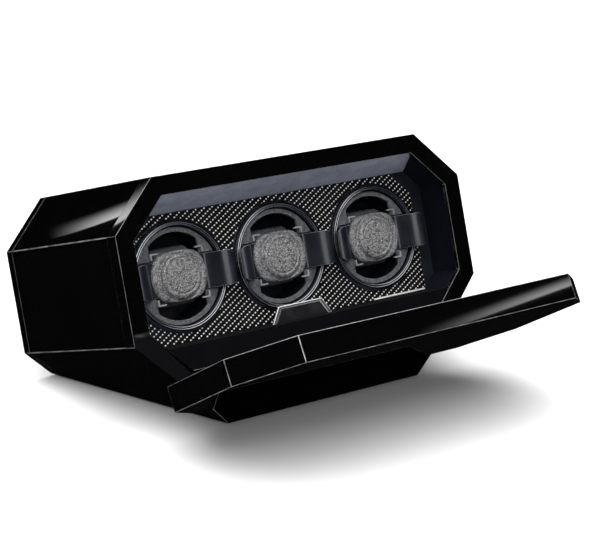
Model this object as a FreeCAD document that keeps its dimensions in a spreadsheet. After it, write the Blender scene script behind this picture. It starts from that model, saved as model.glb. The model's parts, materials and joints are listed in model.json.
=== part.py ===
import FreeCAD, Part

# Watch winder box: an eight-sided lacquered case that leans back on a flat base, a thick front
# lid that swings down on two hinges, and three motor-driven drums, each with a pull-out watch
# holder.
#
# Two frames are used. The world frame has +Z up, +X to the right seen from the front and +Y to
# the back, with its origin at the middle of the felt that the box stands on. The case frame is
# the world frame leaned back about X: X to the right, Y into the case at a right angle to the
# front face, Z up along that face. Every piece except the felt is drawn in the case frame, with
# Y = 0 at the front face and Z = 0 at the lower front edge, and its Placement leans it back.
# All lengths are in millimetres and all angles in degrees.

import math
import os

import Sketcher
from FreeCAD import Placement, Rotation, Vector

# ---------------------------------------------------------------------------------------------
# Sizes
# ---------------------------------------------------------------------------------------------

SIZES = {
    # Outside of the case
    "case_width": 400.0,
    "face_height": 235.0,
    "case_depth": 217.0,
    "lean_angle": 16.6,
    "upper_chamfer": 47.0,
    "lower_chamfer": 87.3,
    "board": 12.0,
    # Front frame, plinth and felt
    "frame_depth": 16.0,
    "frame_lip": 5.0,
    "frame_rail": 18.0,
    "window_floor": 56.0,
    "plinth_height": 22.8,
    "plinth_set_back": 6.8,
    "felt_thick": 2.0,
    "felt_inset": 6.0,
    # Linings of the front bay
    "liner": 2.5,
    "ledge_height": 78.6,
    "ceiling_drop": 35.0,
    "fascia_depth": 45.0,
    "fascia_thick": 1.3,
    "fascia_border": 0.6,
    "fascia_chamfer": 23.0,
    "fascia_foot": 4.0,
    "drum_panel": 4.0,
    "fit_gap": 0.3,
    # Bezels
    "drum_space": 7.4,
    "drum_height": 140.5,
    "bezel_bore": 47.0,
    "bezel_wall": 1.0,
    "bezel_rim": 3.3,
    "bezel_flange": 7.0,
    "bezel_flange_thick": 0.8,
    "bezel_proud": 3.2,
    # Drums
    "drum_gap": 1.0,
    "drum_wall": 2.5,
    "drum_length": 45.0,
    "drum_face": 3.0,
    "opening_half": 27.0,
    "opening_rim": 4.5,
    "wing_slot_gap": 1.0,
    "hub_radius": 10.0,
    "hub_length": 6.0,
    # Watch holders
    "wing_height": 33.0,
    "wing_overhang": 8.0,
    "wing_rise": 19.0,
    "wing_chamfer": 6.0,
    "bar_front": 1.5,
    "bar_gap": 3.0,
    "cushion_width": 46.0,
    "cushion_height": 56.0,
    "cushion_length": 34.0,
    "cushion_round": 13.0,
    "pad_radius": 30.5,
    "pad_half_height": 24.5,
    "pad_thick": 3.5,
    "ear_half_width": 29.0,
    "ear_height": 4.5,
    "medallion_radius": 22.0,
    "medallion_thick": 3.5,
    # Gears, shafts and motors
    "gear_module": 1.0,
    "drum_teeth": 60,
    "pinion_teeth": 15,
    "gear_thick": 6.0,
    "mesh_gap": 0.1,
    "shaft_radius": 4.0,
    "running_gap": 0.05,
    "shaft_length": 36.0,
    "pinion_shaft": 2.5,
    "pinion_shaft_length": 16.0,
    "bearing_radius": 9.0,
    "bearing_length": 16.0,
    "bearing_flange": 13.0,
    "bearing_flange_thick": 2.5,
    "gear_clearance": 1.0,
    "motor_radius": 12.0,
    "motor_length": 32.0,
    "motor_ear": 19.0,
    "motor_ear_thick": 2.0,
    "plate_thick": 2.0,
    "plate_low": 86.0,
    "plate_high": 176.0,
    "plate_flange": 15.0,
    # Electronics and rear panel
    "circuit_width": 120.0,
    "circuit_height": 50.0,
    "circuit_low": 124.0,
    "circuit_thick": 1.6,
    "spacer_radius": 3.0,
    "spacer_length": 19.0,
    "cover_half_width": 112.0,
    "cover_low": 88.0,
    "cover_high": 178.0,
    "cover_thick": 2.5,
    "cover_land": 9.0,
    "vent_width": 3.0,
    "vent_height": 34.0,
    "vent_pitch": 8.0,
    "vent_count": 12,
    "socket_radius": 5.5,
    "socket_bore": 2.8,
    "socket_length": 14.0,
    "knob_radius": 10.0,
    "knob_length": 12.0,
    "knob_stem": 3.0,
    "switch_size": 16.0,
    "switch_depth": 9.0,
    "rocker_width": 12.0,
    "rocker_height": 20.0,
    "rocker_tilt": 8.0,
    "rocker_pivot": 1.5,
    "screw_radius": 1.6,
    "screw_head": 3.2,
    "screw_length": 9.0,
    # Lid and hinges
    "lid_thick": 24.2,
    "lid_gap": 0.3,
    "lid_open_angle": 77.2,
    "lid_foot": 43.5,
    "lining_depth": 6.0,
    "lining_thick": 5.0,
    "hinge_height": 42.0,
    "hinge_spread": 110.0,
    "knuckle_radius": 3.2,
    "knuckle_length": 14.0,
    "knuckle_gap": 0.4,
    "hinge_pin": 1.5,
    "hinge_leaf": 2.0,
    "leaf_height": 13.0,
    "magnet_radius": 5.0,
    "magnet_thick": 3.0,
    "magnet_spread": 90.0,
    "magnet_cover": 1.5,
    # Badge and trim bar on the ledge
    "badge_half_foot": 35.0,
    "badge_half_top": 25.5,
    "badge_height": 15.5,
    "badge_thick": 2.0,
    "badge_front": 22.0,
    "badge_border": 2.8,
    "trim_length": 65.0,
    "trim_height": 1.6,
    "trim_depth": 2.0,
    "trim_end_gap": 2.0,
}

doc = FreeCAD.newDocument("watch_winder_box")
sheet = doc.addObject("Spreadsheet::Sheet", "sizes")
for row, (alias, value) in enumerate(SIZES.items(), start=1):
    sheet.set("A%d" % row, alias)
    sheet.set("B%d" % row, str(value))
    sheet.setAlias("B%d" % row, alias)
doc.recompute()


class Size:
    """A number together with the sheet formula that gives it, so sums of sizes stay bound."""

    def __init__(self, value, text=None):
        self.value = float(value)
        self.text = text if text else "%.10g" % value

    def joined(self, sign, other, value):
        return Size(value, "(%s %s %s)" % (self.text, sign, other.text))

    def __add__(self, other):
        other = size(other)
        return self.joined("+", other, self.value + other.value)

    def __sub__(self, other):
        other = size(other)
        return self.joined("-", other, self.value - other.value)

    def __mul__(self, other):
        other = size(other)
        return self.joined("*", other, self.value * other.value)

    def __truediv__(self, other):
        other = size(other)
        return self.joined("/", other, self.value / other.value)

    def __radd__(self, other):
        return size(other) + self

    def __rsub__(self, other):
        return size(other) - self

    def __rmul__(self, other):
        return size(other) * self

    def __neg__(self):
        return Size(-self.value, "(-1 * %s)" % self.text)


def size(thing):
    """The Size for an alias of the sheet, a plain number, or a Size."""
    if isinstance(thing, Size):
        return thing
    if isinstance(thing, str):
        return Size(sheet.get(thing), "sizes." + thing)
    return Size(thing)


def sine(angle):
    return Size(math.sin(math.radians(angle.value)), "sin(%s)" % angle.text)


def cosine(angle):
    return Size(math.cos(math.radians(angle.value)), "cos(%s)" % angle.text)


def tangent(angle):
    return Size(math.tan(math.radians(angle.value)), "tan(%s)" % angle.text)


# Named sizes used by more than one piece
LEAN = size("lean_angle")
HALF = size("case_width") / 2
HEIGHT = size("face_height")
DEPTH = size("case_depth")
BOARD = size("board")
LINER = size("liner")
SET_BACK = size("plinth_set_back")
PLINTH = size("plinth_height")
FRAME = size("frame_depth")
LIP = size("frame_lip")
LEDGE = size("ledge_height")
FASCIA = size("fascia_depth")
FASCIA_FRONT = FASCIA - size("fascia_thick")
PANEL_BACK = FASCIA + size("drum_panel")
CEILING = HEIGHT - size("ceiling_drop")
FLANGE_RADIUS = size("bezel_bore") + size("bezel_flange")
PITCH = FLANGE_RADIUS * 2 + size("drum_space")
FASCIA_HALF = PITCH + FLANGE_RADIUS + size("fascia_border")
AXIS_HEIGHT = size("drum_height")
PLATE_FRONT = (FASCIA + size("drum_length") + size("hub_length") + size("gear_thick")
               + size("gear_clearance") + size("plate_thick"))
PLATE_BACK = PLATE_FRONT + size("plate_thick")
MESH = (size("drum_teeth") + size("pinion_teeth")) * size("gear_module") / 2 + size("mesh_gap")
COVER_FRONT = DEPTH - size("cover_thick")
DRUM_RADIUS = size("bezel_bore") - size("drum_gap")
DRUM_NAMES = ("left", "centre", "right")
REACH = size("case_width")


# ---------------------------------------------------------------------------------------------
# Frames
# ---------------------------------------------------------------------------------------------

def bottom_line(depth):
    """Height in the case frame of the level underside, at a depth behind the front face."""
    return (depth - SET_BACK) * tangent(LEAN)


UNDERSIDE = (DEPTH - SET_BACK) / cosine(LEAN)
BOTTOM_FRONT = SET_BACK * cosine(LEAN)
case_place = Placement(
    Vector(
        0,
        -(BOTTOM_FRONT + UNDERSIDE / 2).value,
        (size("felt_thick") + SET_BACK * sine(LEAN)).value,
    ),
    Rotation(Vector(1, 0, 0), -LEAN.value),
)


def at(across, depth, height):
    """Placement of a piece drawn around its own origin, at a point of the case frame."""
    spot = Vector(size(across).value, size(depth).value, size(height).value)
    return case_place * Placement(spot, Rotation())


hinge_point = Vector(0, 0, SIZES["hinge_height"])
lid_swing = Placement(hinge_point, Rotation(Vector(1, 0, 0), SIZES["lid_open_angle"]))
lid_place = case_place * lid_swing * Placement(-hinge_point, Rotation())


# ---------------------------------------------------------------------------------------------
# Drawing tools
# ---------------------------------------------------------------------------------------------

nodes = []


def keep(piece, label, place=None):
    """Give a finished piece its label and placement and list it as a node."""
    piece.Label = label
    piece.Placement = place if place else case_place
    nodes.append(piece)
    return piece


def new_body(name):
    body = doc.addObject("PartDesign::Body", name)
    body.AllowCompound = True
    return body


def sketch_on(body, role, offset=None):
    """An empty sketch on one of the body's own origin planes, moved along the plane's normal."""
    plane = [item for item in body.Origin.OriginFeatures if item.Role == role][0]
    sketch = body.newObject("Sketcher::SketchObject", body.Name + "_sketch")
    sketch.AttachmentSupport = [(plane, "")]
    sketch.MapMode = "FlatFace"
    if offset is not None:
        sketch.setExpression("AttachmentOffset.Base.z", size(offset).text)
    return sketch


def hold(sketch, kind, geometry, point, value):
    """A distance from the sketch's origin to a point, bound to the sheet."""
    value = size(value)
    index = sketch.addConstraint(Sketcher.Constraint(kind, -1, 1, geometry, point, value.value))
    sketch.setExpression("Constraints[%d]" % index, value.text)


def polygon(sketch, corners):
    """A closed outline of straight lines through corners given as pairs of sizes."""
    corners = [(size(x), size(y)) for x, y in corners]
    first = sketch.GeometryCount
    following = corners[1:] + corners[:1]
    for (x, y), (next_x, next_y) in zip(corners, following):
        start = Vector(x.value, y.value, 0)
        end = Vector(next_x.value, next_y.value, 0)
        sketch.addGeometry(Part.LineSegment(start, end), False)
    for index, (x, y) in enumerate(corners):
        after = first + (index + 1) % len(corners)
        sketch.addConstraint(Sketcher.Constraint("Coincident", first + index, 2, after, 1))
        hold(sketch, "DistanceX", first + index, 1, x)
        hold(sketch, "DistanceY", first + index, 1, y)


def circle(sketch, x, y, radius):
    x, y, radius = size(x), size(y), size(radius)
    centre = Vector(x.value, y.value, 0)
    index = sketch.addGeometry(Part.Circle(centre, Vector(0, 0, 1), radius.value), False)
    rule = sketch.addConstraint(Sketcher.Constraint("Radius", index, radius.value))
    sketch.setExpression("Constraints[%d]" % rule, radius.text)
    hold(sketch, "DistanceX", index, 3, x)
    hold(sketch, "DistanceY", index, 3, y)


def flatted_circle(sketch, radius, flat, flats_upright):
    """A circle about the sketch's origin with two flats, each at the distance flat from it."""
    radius, flat = size(radius), size(flat)
    side = math.acos(flat.value / radius.value)
    turn = 0 if flats_upright else math.pi / 2
    whole = Part.Circle(Vector(0, 0, 0), Vector(0, 0, 1), radius.value)
    spans = [(turn + side, turn + math.pi - side), (turn + math.pi + side, turn - side)]
    for start, end in spans:
        sketch.addGeometry(Part.ArcOfCircle(whole, start, end), False)
    for start, end in ((spans[0][1], spans[1][0]), (spans[1][1], spans[0][0])):
        ends = [Vector(radius.value * math.cos(a), radius.value * math.sin(a), 0)
                for a in (start, end)]
        sketch.addGeometry(Part.LineSegment(*ends), False)
    for arc, line, arc_end, line_end in ((0, 2, 2, 1), (2, 1, 2, 1), (1, 3, 2, 1), (3, 0, 2, 1)):
        sketch.addConstraint(Sketcher.Constraint("Coincident", arc, arc_end, line, line_end))
    for arc in (0, 1):
        sketch.addConstraint(Sketcher.Constraint("Coincident", arc, 3, -1, 1))
    rule = sketch.addConstraint(Sketcher.Constraint("Radius", 0, radius.value))
    sketch.setExpression("Constraints[%d]" % rule, radius.text)
    direction = "Vertical" if flats_upright else "Horizontal"
    for line, sign in ((2, -1), (3, 1)):
        sketch.addConstraint(Sketcher.Constraint(direction, line))
        hold(sketch, "DistanceX" if flats_upright else "DistanceY", line, 1, sign * flat)


def feature(body, kind, sketch, length, reverse=False, both_ways=False):
    made = body.newObject("PartDesign::" + kind, body.Name + "_" + kind.lower())
    made.Profile = sketch
    made.setExpression("Length", size(length).text)
    made.Reversed = reverse
    if both_ways:
        made.SideType = "Symmetric"
    return made


def face_pad(body, start, thick, outlines=(), circles=()):
    """Add stock drawn as seen from the front, from depth start to start + thick."""
    sketch = sketch_on(body, "XZ_Plane", -size(start))
    for corners in outlines:
        polygon(sketch, corners)
    for ring in circles:
        circle(sketch, *ring)
    return feature(body, "Pad", sketch, thick, reverse=True)


def face_pocket(body, start, thick, outlines=(), circles=()):
    """Cut stock drawn as seen from the front, from depth start to start + thick."""
    sketch = sketch_on(body, "XZ_Plane", -size(start))
    for corners in outlines:
        polygon(sketch, corners)
    for ring in circles:
        circle(sketch, *ring)
    return feature(body, "Pocket", sketch, thick)


def side_pad(body, corners, width):
    """Add stock drawn in side view (depth, height) and padded evenly about the middle plane."""
    sketch = sketch_on(body, "YZ_Plane")
    polygon(sketch, corners)
    return feature(body, "Pad", sketch, width, both_ways=True)


def side_pocket(body, corners, width):
    sketch = sketch_on(body, "YZ_Plane")
    polygon(sketch, corners)
    return feature(body, "Pocket", sketch, width, both_ways=True)


def turned(body, corners):
    """Revolve an outline of (radius, depth) pairs about the piece's own depth axis."""
    sketch = sketch_on(body, "XY_Plane")
    polygon(sketch, corners)
    made = body.newObject("PartDesign::Revolution", body.Name + "_revolution")
    made.Profile = sketch
    made.ReferenceAxis = (sketch, ["V_Axis"])
    made.Angle = 360
    return made


def mirrored(corners):
    return [(-size(x), y) for x, y in corners]


def both_sides(corners):
    return [corners, mirrored(corners)]


def box_outline(left, right, low, high):
    return [(left, low), (right, low), (right, high), (left, high)]


# ---------------------------------------------------------------------------------------------
# Outline of the case, and the same outline moved inwards
# ---------------------------------------------------------------------------------------------

MITRE = Size(math.tan(math.pi / 8), "tan(22.5)")


def top_corner(inset):
    return (HALF - size("upper_chamfer") - size(inset) * MITRE, HEIGHT - inset)


def upper_corner(inset):
    return (HALF - inset, HEIGHT - size("upper_chamfer") - size(inset) * MITRE)


def lower_corner(inset):
    return (HALF - inset, size("lower_chamfer") + size(inset) * MITRE)


def foot_corner(inset, level):
    """Where the lower chamfer, moved in by inset, comes down to a level."""
    across, height = lower_corner(inset)
    return (across - height + level, size(level))


def eight_sides(inset, level):
    right = [foot_corner(inset, level), lower_corner(inset), upper_corner(inset),
             top_corner(inset)]
    return right + [(-x, y) for x, y in reversed(right)]


def below_chamfer(inset):
    """The region outside the lower chamfer moved in by inset, as a cutter for both ends."""
    low = foot_corner(inset, -size("board"))
    return both_sides([low, lower_corner(inset), (lower_corner(inset)[0] + REACH, low[1])])


def above_chamfer(inset):
    """The region outside the upper chamfer moved in by inset, as a cutter for both ends."""
    across, height = top_corner(inset)
    start = (across - BOARD * 2, height + BOARD * 2)
    return both_sides([start, upper_corner(inset), (across + REACH, start[1])])


def level_cut(body):
    """Cut a body off at the level underside."""
    low = -HEIGHT
    side_pocket(body, [(-BOARD, low), (-BOARD, bottom_line(-BOARD)),
                       (DEPTH + BOARD, bottom_line(DEPTH + BOARD)), (DEPTH + BOARD, low)],
                REACH * 2)


# ---------------------------------------------------------------------------------------------
# Case
# ---------------------------------------------------------------------------------------------

def hinge_seats():
    """Places of the two hinges, as (left, right) limits across the case."""
    half = size("knuckle_length") * 1.5 + size("knuckle_gap") * 2
    spread = size("hinge_spread")
    return [(sign * spread - half, sign * spread + half) for sign in (-1, 1)]


def front_frame():
    body = new_body("front_frame")
    inner_level = size("window_floor") - size("frame_rail") / 2
    face_pad(body, 0, FRAME, [eight_sides(0, PLINTH)])
    face_pocket(body, 0, FRAME, [eight_sides(size("frame_rail"), size("window_floor"))])
    face_pocket(body, LIP, FRAME - LIP, [eight_sides(BOARD, inner_level)])
    low = size("hinge_height") - size("leaf_height") - size("fit_gap")
    high = size("hinge_height") + size("knuckle_radius") + size("fit_gap")
    depth = size("knuckle_radius") + size("fit_gap")
    face_pocket(body, 0, depth, [box_outline(left - size("fit_gap"), right + size("fit_gap"),
                                             low, high) for left, right in hinge_seats()])
    magnet_height = HEIGHT - size("frame_rail") / 2
    face_pocket(body, size("magnet_cover"), FRAME - size("magnet_cover"), circles=[
        (sign * size("magnet_spread"), magnet_height, "magnet_radius") for sign in (-1, 1)])
    keep(body, "front_frame")


def plinth_board():
    body = new_body("plinth_board")
    side_pad(body, [(0, PLINTH), (SET_BACK, 0), (FRAME, bottom_line(FRAME)), (FRAME, PLINTH)],
             foot_corner(0, PLINTH)[0] * 2)
    face_pocket(body, -BOARD, FRAME + BOARD * 2, below_chamfer(0))
    keep(body, "plinth_board")


def wall_boards():
    length = DEPTH - BOARD - FRAME
    outer_top, inner_top = top_corner(0), top_corner(BOARD)
    outer_side, inner_side = upper_corner(0), upper_corner(BOARD)
    outer_low, inner_low = lower_corner(0), lower_corner(BOARD)

    body = new_body("top_board")
    face_pad(body, FRAME, length, [[outer_top, inner_top] + mirrored([inner_top, outer_top])])
    keep(body, "top_board")

    body = new_body("upper_chamfer_boards")
    face_pad(body, FRAME, length, both_sides([outer_top, outer_side, inner_side, inner_top]))
    keep(body, "upper_chamfer_boards")

    body = new_body("side_boards")
    face_pad(body, FRAME, length, both_sides([outer_side, outer_low, inner_low, inner_side]))
    keep(body, "side_boards")

    body = new_body("lower_chamfer_boards")
    low = -BOARD
    face_pad(body, FRAME, length, both_sides(
        [outer_low, foot_corner(0, low), foot_corner(BOARD, low), inner_low]))
    level_cut(body)
    keep(body, "lower_chamfer_boards")

    body = new_body("bottom_board")
    lift = BOARD / cosine(LEAN)
    back = DEPTH - BOARD
    side_pad(body, [(FRAME, bottom_line(FRAME)), (back, bottom_line(back)),
                    (back, bottom_line(back) + lift), (FRAME, bottom_line(FRAME) + lift)],
             REACH)
    face_pocket(body, 0, DEPTH, below_chamfer(BOARD))
    keep(body, "bottom_board")


def rear_board():
    body = new_body("rear_board")
    half, low, high = size("cover_half_width"), size("cover_low"), size("cover_high")
    land = size("cover_land")
    face_pad(body, DEPTH - BOARD, BOARD, [eight_sides(0, 0)])
    level_cut(body)
    face_pocket(body, DEPTH - BOARD, BOARD, [
        box_outline(land - half, half - land, low + land, high - land)])
    gap = size("fit_gap")
    face_pocket(body, COVER_FRONT, size("cover_thick"), [
        box_outline(-half - gap, half + gap, low - gap, high + gap)])
    face_pocket(body, DEPTH - BOARD, BOARD, circles=[
        (x, y, "screw_radius") for x, y in cover_screw_spots()])
    keep(body, "rear_board")


def base_felt():
    body = new_body("base_felt")
    inset = size("felt_inset")
    front = -UNDERSIDE / 2
    narrow = foot_corner(0, 0)[0] - inset
    wide = foot_corner(0, bottom_line(DEPTH))[0] - inset
    sketch = sketch_on(body, "XY_Plane")
    polygon(sketch, [(-narrow, front + inset), (narrow, front + inset),
                     (wide, -front - inset), (-wide, -front - inset)])
    feature(body, "Pad", sketch, "felt_thick")
    keep(body, "base_felt", Placement())


# ---------------------------------------------------------------------------------------------
# Linings, drum panel, fascia, bezels, badge and trim
# ---------------------------------------------------------------------------------------------

def linings():
    length = PANEL_BACK - LIP
    inner = BOARD + LINER
    level = size("window_floor")
    between_walls = (HALF - inner) * 2 - size("fit_gap")
    body = new_body("wall_linings")
    face_pad(body, LIP, length, both_sides(
        [top_corner(BOARD), upper_corner(BOARD), lower_corner(BOARD), foot_corner(BOARD, level),
         foot_corner(inner, level), lower_corner(inner), upper_corner(inner),
         top_corner(inner)]))
    keep(body, "wall_linings")

    body = new_body("ceiling_lining")
    front_height, back_height = HEIGHT - size("frame_rail"), CEILING
    side_pad(body, [(LIP, front_height), (FASCIA, back_height), (FASCIA, back_height + LINER),
                    (LIP, front_height + LINER)], between_walls)
    face_pocket(body, 0, PANEL_BACK, above_chamfer(inner + size("fit_gap") / 2))
    keep(body, "ceiling_lining")

    body = new_body("ledge_lining")
    low = size("window_floor") - size("frame_rail") / 3
    side_pad(body, [(LIP, low), (LIP, LEDGE), (FASCIA, LEDGE), (FASCIA, LEDGE - LINER),
                    (LIP + LINER, LEDGE - LINER), (LIP + LINER, low)], between_walls)
    face_pocket(body, 0, PANEL_BACK, below_chamfer(inner + size("fit_gap") / 2))
    keep(body, "ledge_lining")


def drum_centres():
    return [(PITCH * step, AXIS_HEIGHT) for step in (-1, 0, 1)]


def panel_and_fascia():
    bore = size("bezel_bore") + size("bezel_wall") + size("fit_gap") / 2
    holes = [(x, y, bore) for x, y in drum_centres()]
    body = new_body("drum_panel")
    inset = BOARD + LINER + size("fit_gap")
    face_pad(body, FASCIA, size("drum_panel"), [eight_sides(inset, LEDGE - LINER * 2)])
    face_pocket(body, FASCIA, size("drum_panel"), circles=holes)
    keep(body, "drum_panel")

    body = new_body("carbon_fascia")
    half, cut = FASCIA_HALF, size("fascia_chamfer")
    foot = size("fascia_foot")
    low, high = LEDGE + size("fit_gap"), CEILING - size("fit_gap")
    right = [(half - foot, low), (half, low + foot), (half, high - cut), (half - cut, high)]
    face_pad(body, FASCIA_FRONT, "fascia_thick", [right + [(-x, y) for x, y in right[::-1]]])
    face_pocket(body, FASCIA_FRONT, "fascia_thick", circles=holes)
    keep(body, "carbon_fascia")


def bezels():
    body = new_body("bezels")
    bore = size("bezel_bore")

    def rings(radius):
        return [(x, y, r) for x, y in drum_centres() for r in (bore, radius)]

    flange_front = FASCIA_FRONT - size("bezel_flange_thick")
    rim_front = FASCIA_FRONT - size("bezel_proud")
    face_pad(body, flange_front, "bezel_flange_thick", circles=rings(FLANGE_RADIUS))
    face_pad(body, rim_front, size("bezel_proud"), circles=rings(bore + size("bezel_rim")))
    face_pad(body, FASCIA_FRONT, PANEL_BACK - FASCIA_FRONT,
             circles=rings(bore + size("bezel_wall")))
    keep(body, "bezels")


def badge_and_trim():
    foot, top = size("badge_half_foot"), size("badge_half_top")
    front, thick, high = size("badge_front"), size("badge_thick"), LEDGE + size("badge_height")
    border = size("badge_border")
    outline = [(-foot, LEDGE), (foot, LEDGE), (top, high), (-top, high)]
    opening = [(border * 1.5 - foot, LEDGE), (foot - border * 1.5, LEDGE),
               (top - border, high - border), (border - top, high - border)]
    body = new_body("badge_frame")
    face_pad(body, front, thick, [outline])
    face_pocket(body, front, thick, [opening])
    keep(body, "badge_frame")

    body = new_body("badge_blank")
    face_pad(body, front + thick / 4, thick / 2, [opening])
    keep(body, "badge_blank")

    bar = doc.addObject("Part::Box", "trim_bar")
    bar.setExpression("Length", size("trim_length").text)
    bar.setExpression("Width", size("trim_depth").text)
    bar.setExpression("Height", size("trim_height").text)
    left = FASCIA_HALF - size("trim_end_gap") - size("trim_length")
    keep(bar, "trim_bar", at(left, FASCIA_FRONT - size("trim_depth"), LEDGE))


# ---------------------------------------------------------------------------------------------
# Drums, holders and drive
# ---------------------------------------------------------------------------------------------

def drum_shell(name, place):
    body = new_body("drum_shell_" + name)
    bore, outer = size("shaft_radius"), DRUM_RADIUS
    inner = DRUM_RADIUS - size("drum_wall")
    front, back = size("drum_face"), size("drum_length")
    floor = back - size("drum_wall")
    hub, hub_end = size("hub_radius"), back + size("hub_length")
    turned(body, [(bore, floor), (inner, floor), (inner, front), (outer, front), (outer, back),
                  (hub, back), (hub, hub_end), (bore, hub_end)])
    keep(body, body.Name, place)


def drum_face(name, place):
    body = new_body("drum_face_" + name)
    thick = size("drum_face")
    face_pad(body, 0, thick, circles=[(0, 0, DRUM_RADIUS)])
    sketch = sketch_on(body, "XZ_Plane")
    flatted_circle(sketch, DRUM_RADIUS - size("opening_rim"), "opening_half", True)
    feature(body, "Pocket", sketch, thick)
    slot = size("wing_height") / 2 + size("wing_slot_gap")
    face_pocket(body, 0, thick, [box_outline(-DRUM_RADIUS * 2, DRUM_RADIUS * 2, -slot, slot)])
    keep(body, body.Name, place)


def holder_frame(name, place):
    body = new_body("holder_frame_" + name)
    rise, bar = size("wing_rise"), size("bar_front")
    reach, half = DRUM_RADIUS + size("wing_overhang"), DRUM_RADIUS - size("bar_gap")
    back = size("drum_face") - size("fit_gap")
    seat = size("pad_radius") + size("fit_gap") * 2
    wall = size("drum_wall")
    right = [(seat, -bar), (seat + 2, -bar - 3), (half - 2, 3.5 - rise), (half + 2.5, 0.7 - rise),
             (reach - 4, -rise), (reach, 2.4 - rise), (reach, wall + 2.4 - rise),
             (reach - 4, wall - rise), (half + 3.5, wall + 1.5 - rise), (half, 8.5 - rise),
             (half, back)]
    sketch = sketch_on(body, "XY_Plane")
    polygon(sketch, right + [(-size(x), y) for x, y in right[::-1]])
    feature(body, "Pad", sketch, "wing_height", both_ways=True)
    cut, top = size("wing_chamfer"), size("wing_height") / 2
    corner = [(reach - cut, top), (reach, top - cut), (reach + cut, top + cut)]
    corners = both_sides(corner) + both_sides([(x, -size(y)) for x, y in corner])
    face_pocket(body, -rise * 2, rise * 3, corners)
    keep(body, body.Name, place)


def holder_cushion(name, place):
    body = new_body("cushion_" + name)
    half, rise = size("cushion_width") / 2, size("cushion_height") / 2
    start = size("drum_face") - size("fit_gap")
    block = face_pad(body, start, "cushion_length", [box_outline(-half, half, -rise, rise)])
    doc.recompute()
    along_depth = ["Edge%d" % number for number, edge in enumerate(block.Shape.Edges, start=1)
                   if edge.BoundBox.YLength > SIZES["cushion_length"] / 2]
    rounding = body.newObject("PartDesign::Fillet", body.Name + "_rounding")
    rounding.Base = (block, along_depth)
    rounding.setExpression("Radius", size("cushion_round").text)
    keep(body, body.Name, place)


def holder_pad(name, place):
    body = new_body("pad_" + name)
    thick, bar = size("pad_thick"), size("bar_front")
    sketch = sketch_on(body, "XZ_Plane", thick + bar)
    flatted_circle(sketch, "pad_radius", "pad_half_height", False)
    feature(body, "Pad", sketch, thick, reverse=True)
    ear, high = size("ear_half_width"), size("pad_half_height")
    low = high - size("ear_height")
    face_pad(body, -thick - bar, thick, [box_outline(-ear, ear, low, high),
                                         box_outline(-ear, ear, -high, -low)])
    keep(body, body.Name, place)


def holder_medallion(name, place):
    body = new_body("medallion_" + name)
    back = size("pad_thick") + size("bar_front")
    radius, thick = size("medallion_radius"), size("medallion_thick")
    round_over = thick / 3
    turned(body, [(0, -back - thick), (radius - round_over, -back - thick),
                  (radius, -back - thick + round_over), (radius, -back), (0, -back)])
    keep(body, body.Name, place)


def gear_face(teeth, first_tooth):
    """Flat gear outline about the depth axis, with straight flanks thinned for backlash."""
    module = SIZES["gear_module"]
    pitch_radius = teeth * module / 2
    root, tip = pitch_radius - 1.25 * module, pitch_radius + module
    step = 2 * math.pi / teeth
    at_pitch = 0.21 * step
    lean = module * math.tan(math.radians(20)) / pitch_radius
    points = []
    for tooth in range(teeth):
        middle = math.radians(first_tooth) + tooth * step
        for radius, offset in ((root, -at_pitch - lean), (tip, lean - at_pitch),
                               (tip, at_pitch - lean), (root, at_pitch + lean)):
            angle = middle + offset
            points.append(Vector(radius * math.cos(angle), 0, radius * math.sin(angle)))
    return Part.Face(Part.makePolygon(points + points[:1]))


def gear_on_shaft(label, teeth, first_tooth, shaft, shaft_start, shaft_length, gear_start,
                  place):
    """A moulded gear with its own shaft along the depth axis."""
    piece = doc.addObject("Part::Feature", label)
    wheel = gear_face(teeth, first_tooth).extrude(Vector(0, SIZES["gear_thick"], 0))
    wheel.translate(Vector(0, gear_start, 0))
    rod = Part.makeCylinder(shaft, shaft_length, Vector(0, shaft_start, 0), Vector(0, 1, 0))
    piece.Shape = wheel.fuse(rod).removeSplitter()
    keep(piece, label, place)


def drum_drive(name, centre, place):
    gear_start = SIZES["drum_length"] + SIZES["hub_length"]
    half_step = 180.0 / SIZES["drum_teeth"]
    floor = SIZES["drum_length"] - SIZES["drum_wall"]
    gear_on_shaft("drive_gear_" + name, SIZES["drum_teeth"], half_step - 90,
                  SIZES["shaft_radius"], floor, SIZES["shaft_length"], gear_start, place)
    across, height = centre
    pinion_place = at(across, FASCIA, height - MESH)
    gear_on_shaft("pinion_" + name, SIZES["pinion_teeth"], 90, SIZES["pinion_shaft"],
                  gear_start - SIZES["gear_clearance"], SIZES["pinion_shaft_length"],
                  gear_start, pinion_place)


def motor_plate():
    body = new_body("motor_plate")
    inner, low, high = HALF - BOARD, size("plate_low"), size("plate_high")
    thick = size("plate_thick")
    body_low = lower_corner(BOARD)[1] + size("fit_gap")
    waist = foot_corner(BOARD + size("fit_gap"), low)[0]
    side = inner - size("fit_gap")
    right = [(waist, low), (side, body_low), (side, high)]
    face_pad(body, PLATE_FRONT, thick, [right + [(-x, y) for x, y in right[::-1]]])
    face_pad(body, PLATE_FRONT, "plate_flange",
             both_sides(box_outline(side - thick, side, body_low, high)))
    holes = [(x, y, "bearing_radius") for x, y in drum_centres()]
    holes += [(x, y - MESH, size("pinion_shaft") * 2) for x, y in drum_centres()]
    face_pocket(body, PLATE_FRONT, thick, circles=holes)
    face_pocket(body, PLATE_FRONT, thick, circles=[
        (x, y, "screw_radius") for x, y in motor_screw_spots()])
    keep(body, "motor_plate")


def bearings():
    body = new_body("shaft_bearings")
    bore = size("shaft_radius") + size("running_gap")

    def rings(radius):
        return [(x, y, r) for x, y in drum_centres() for r in (bore, size(radius))]

    face_pad(body, PLATE_FRONT - size("plate_thick"), "bearing_length",
             circles=rings("bearing_radius"))
    face_pad(body, PLATE_BACK, "bearing_flange_thick", circles=rings("bearing_flange"))
    keep(body, "shaft_bearings")


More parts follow.
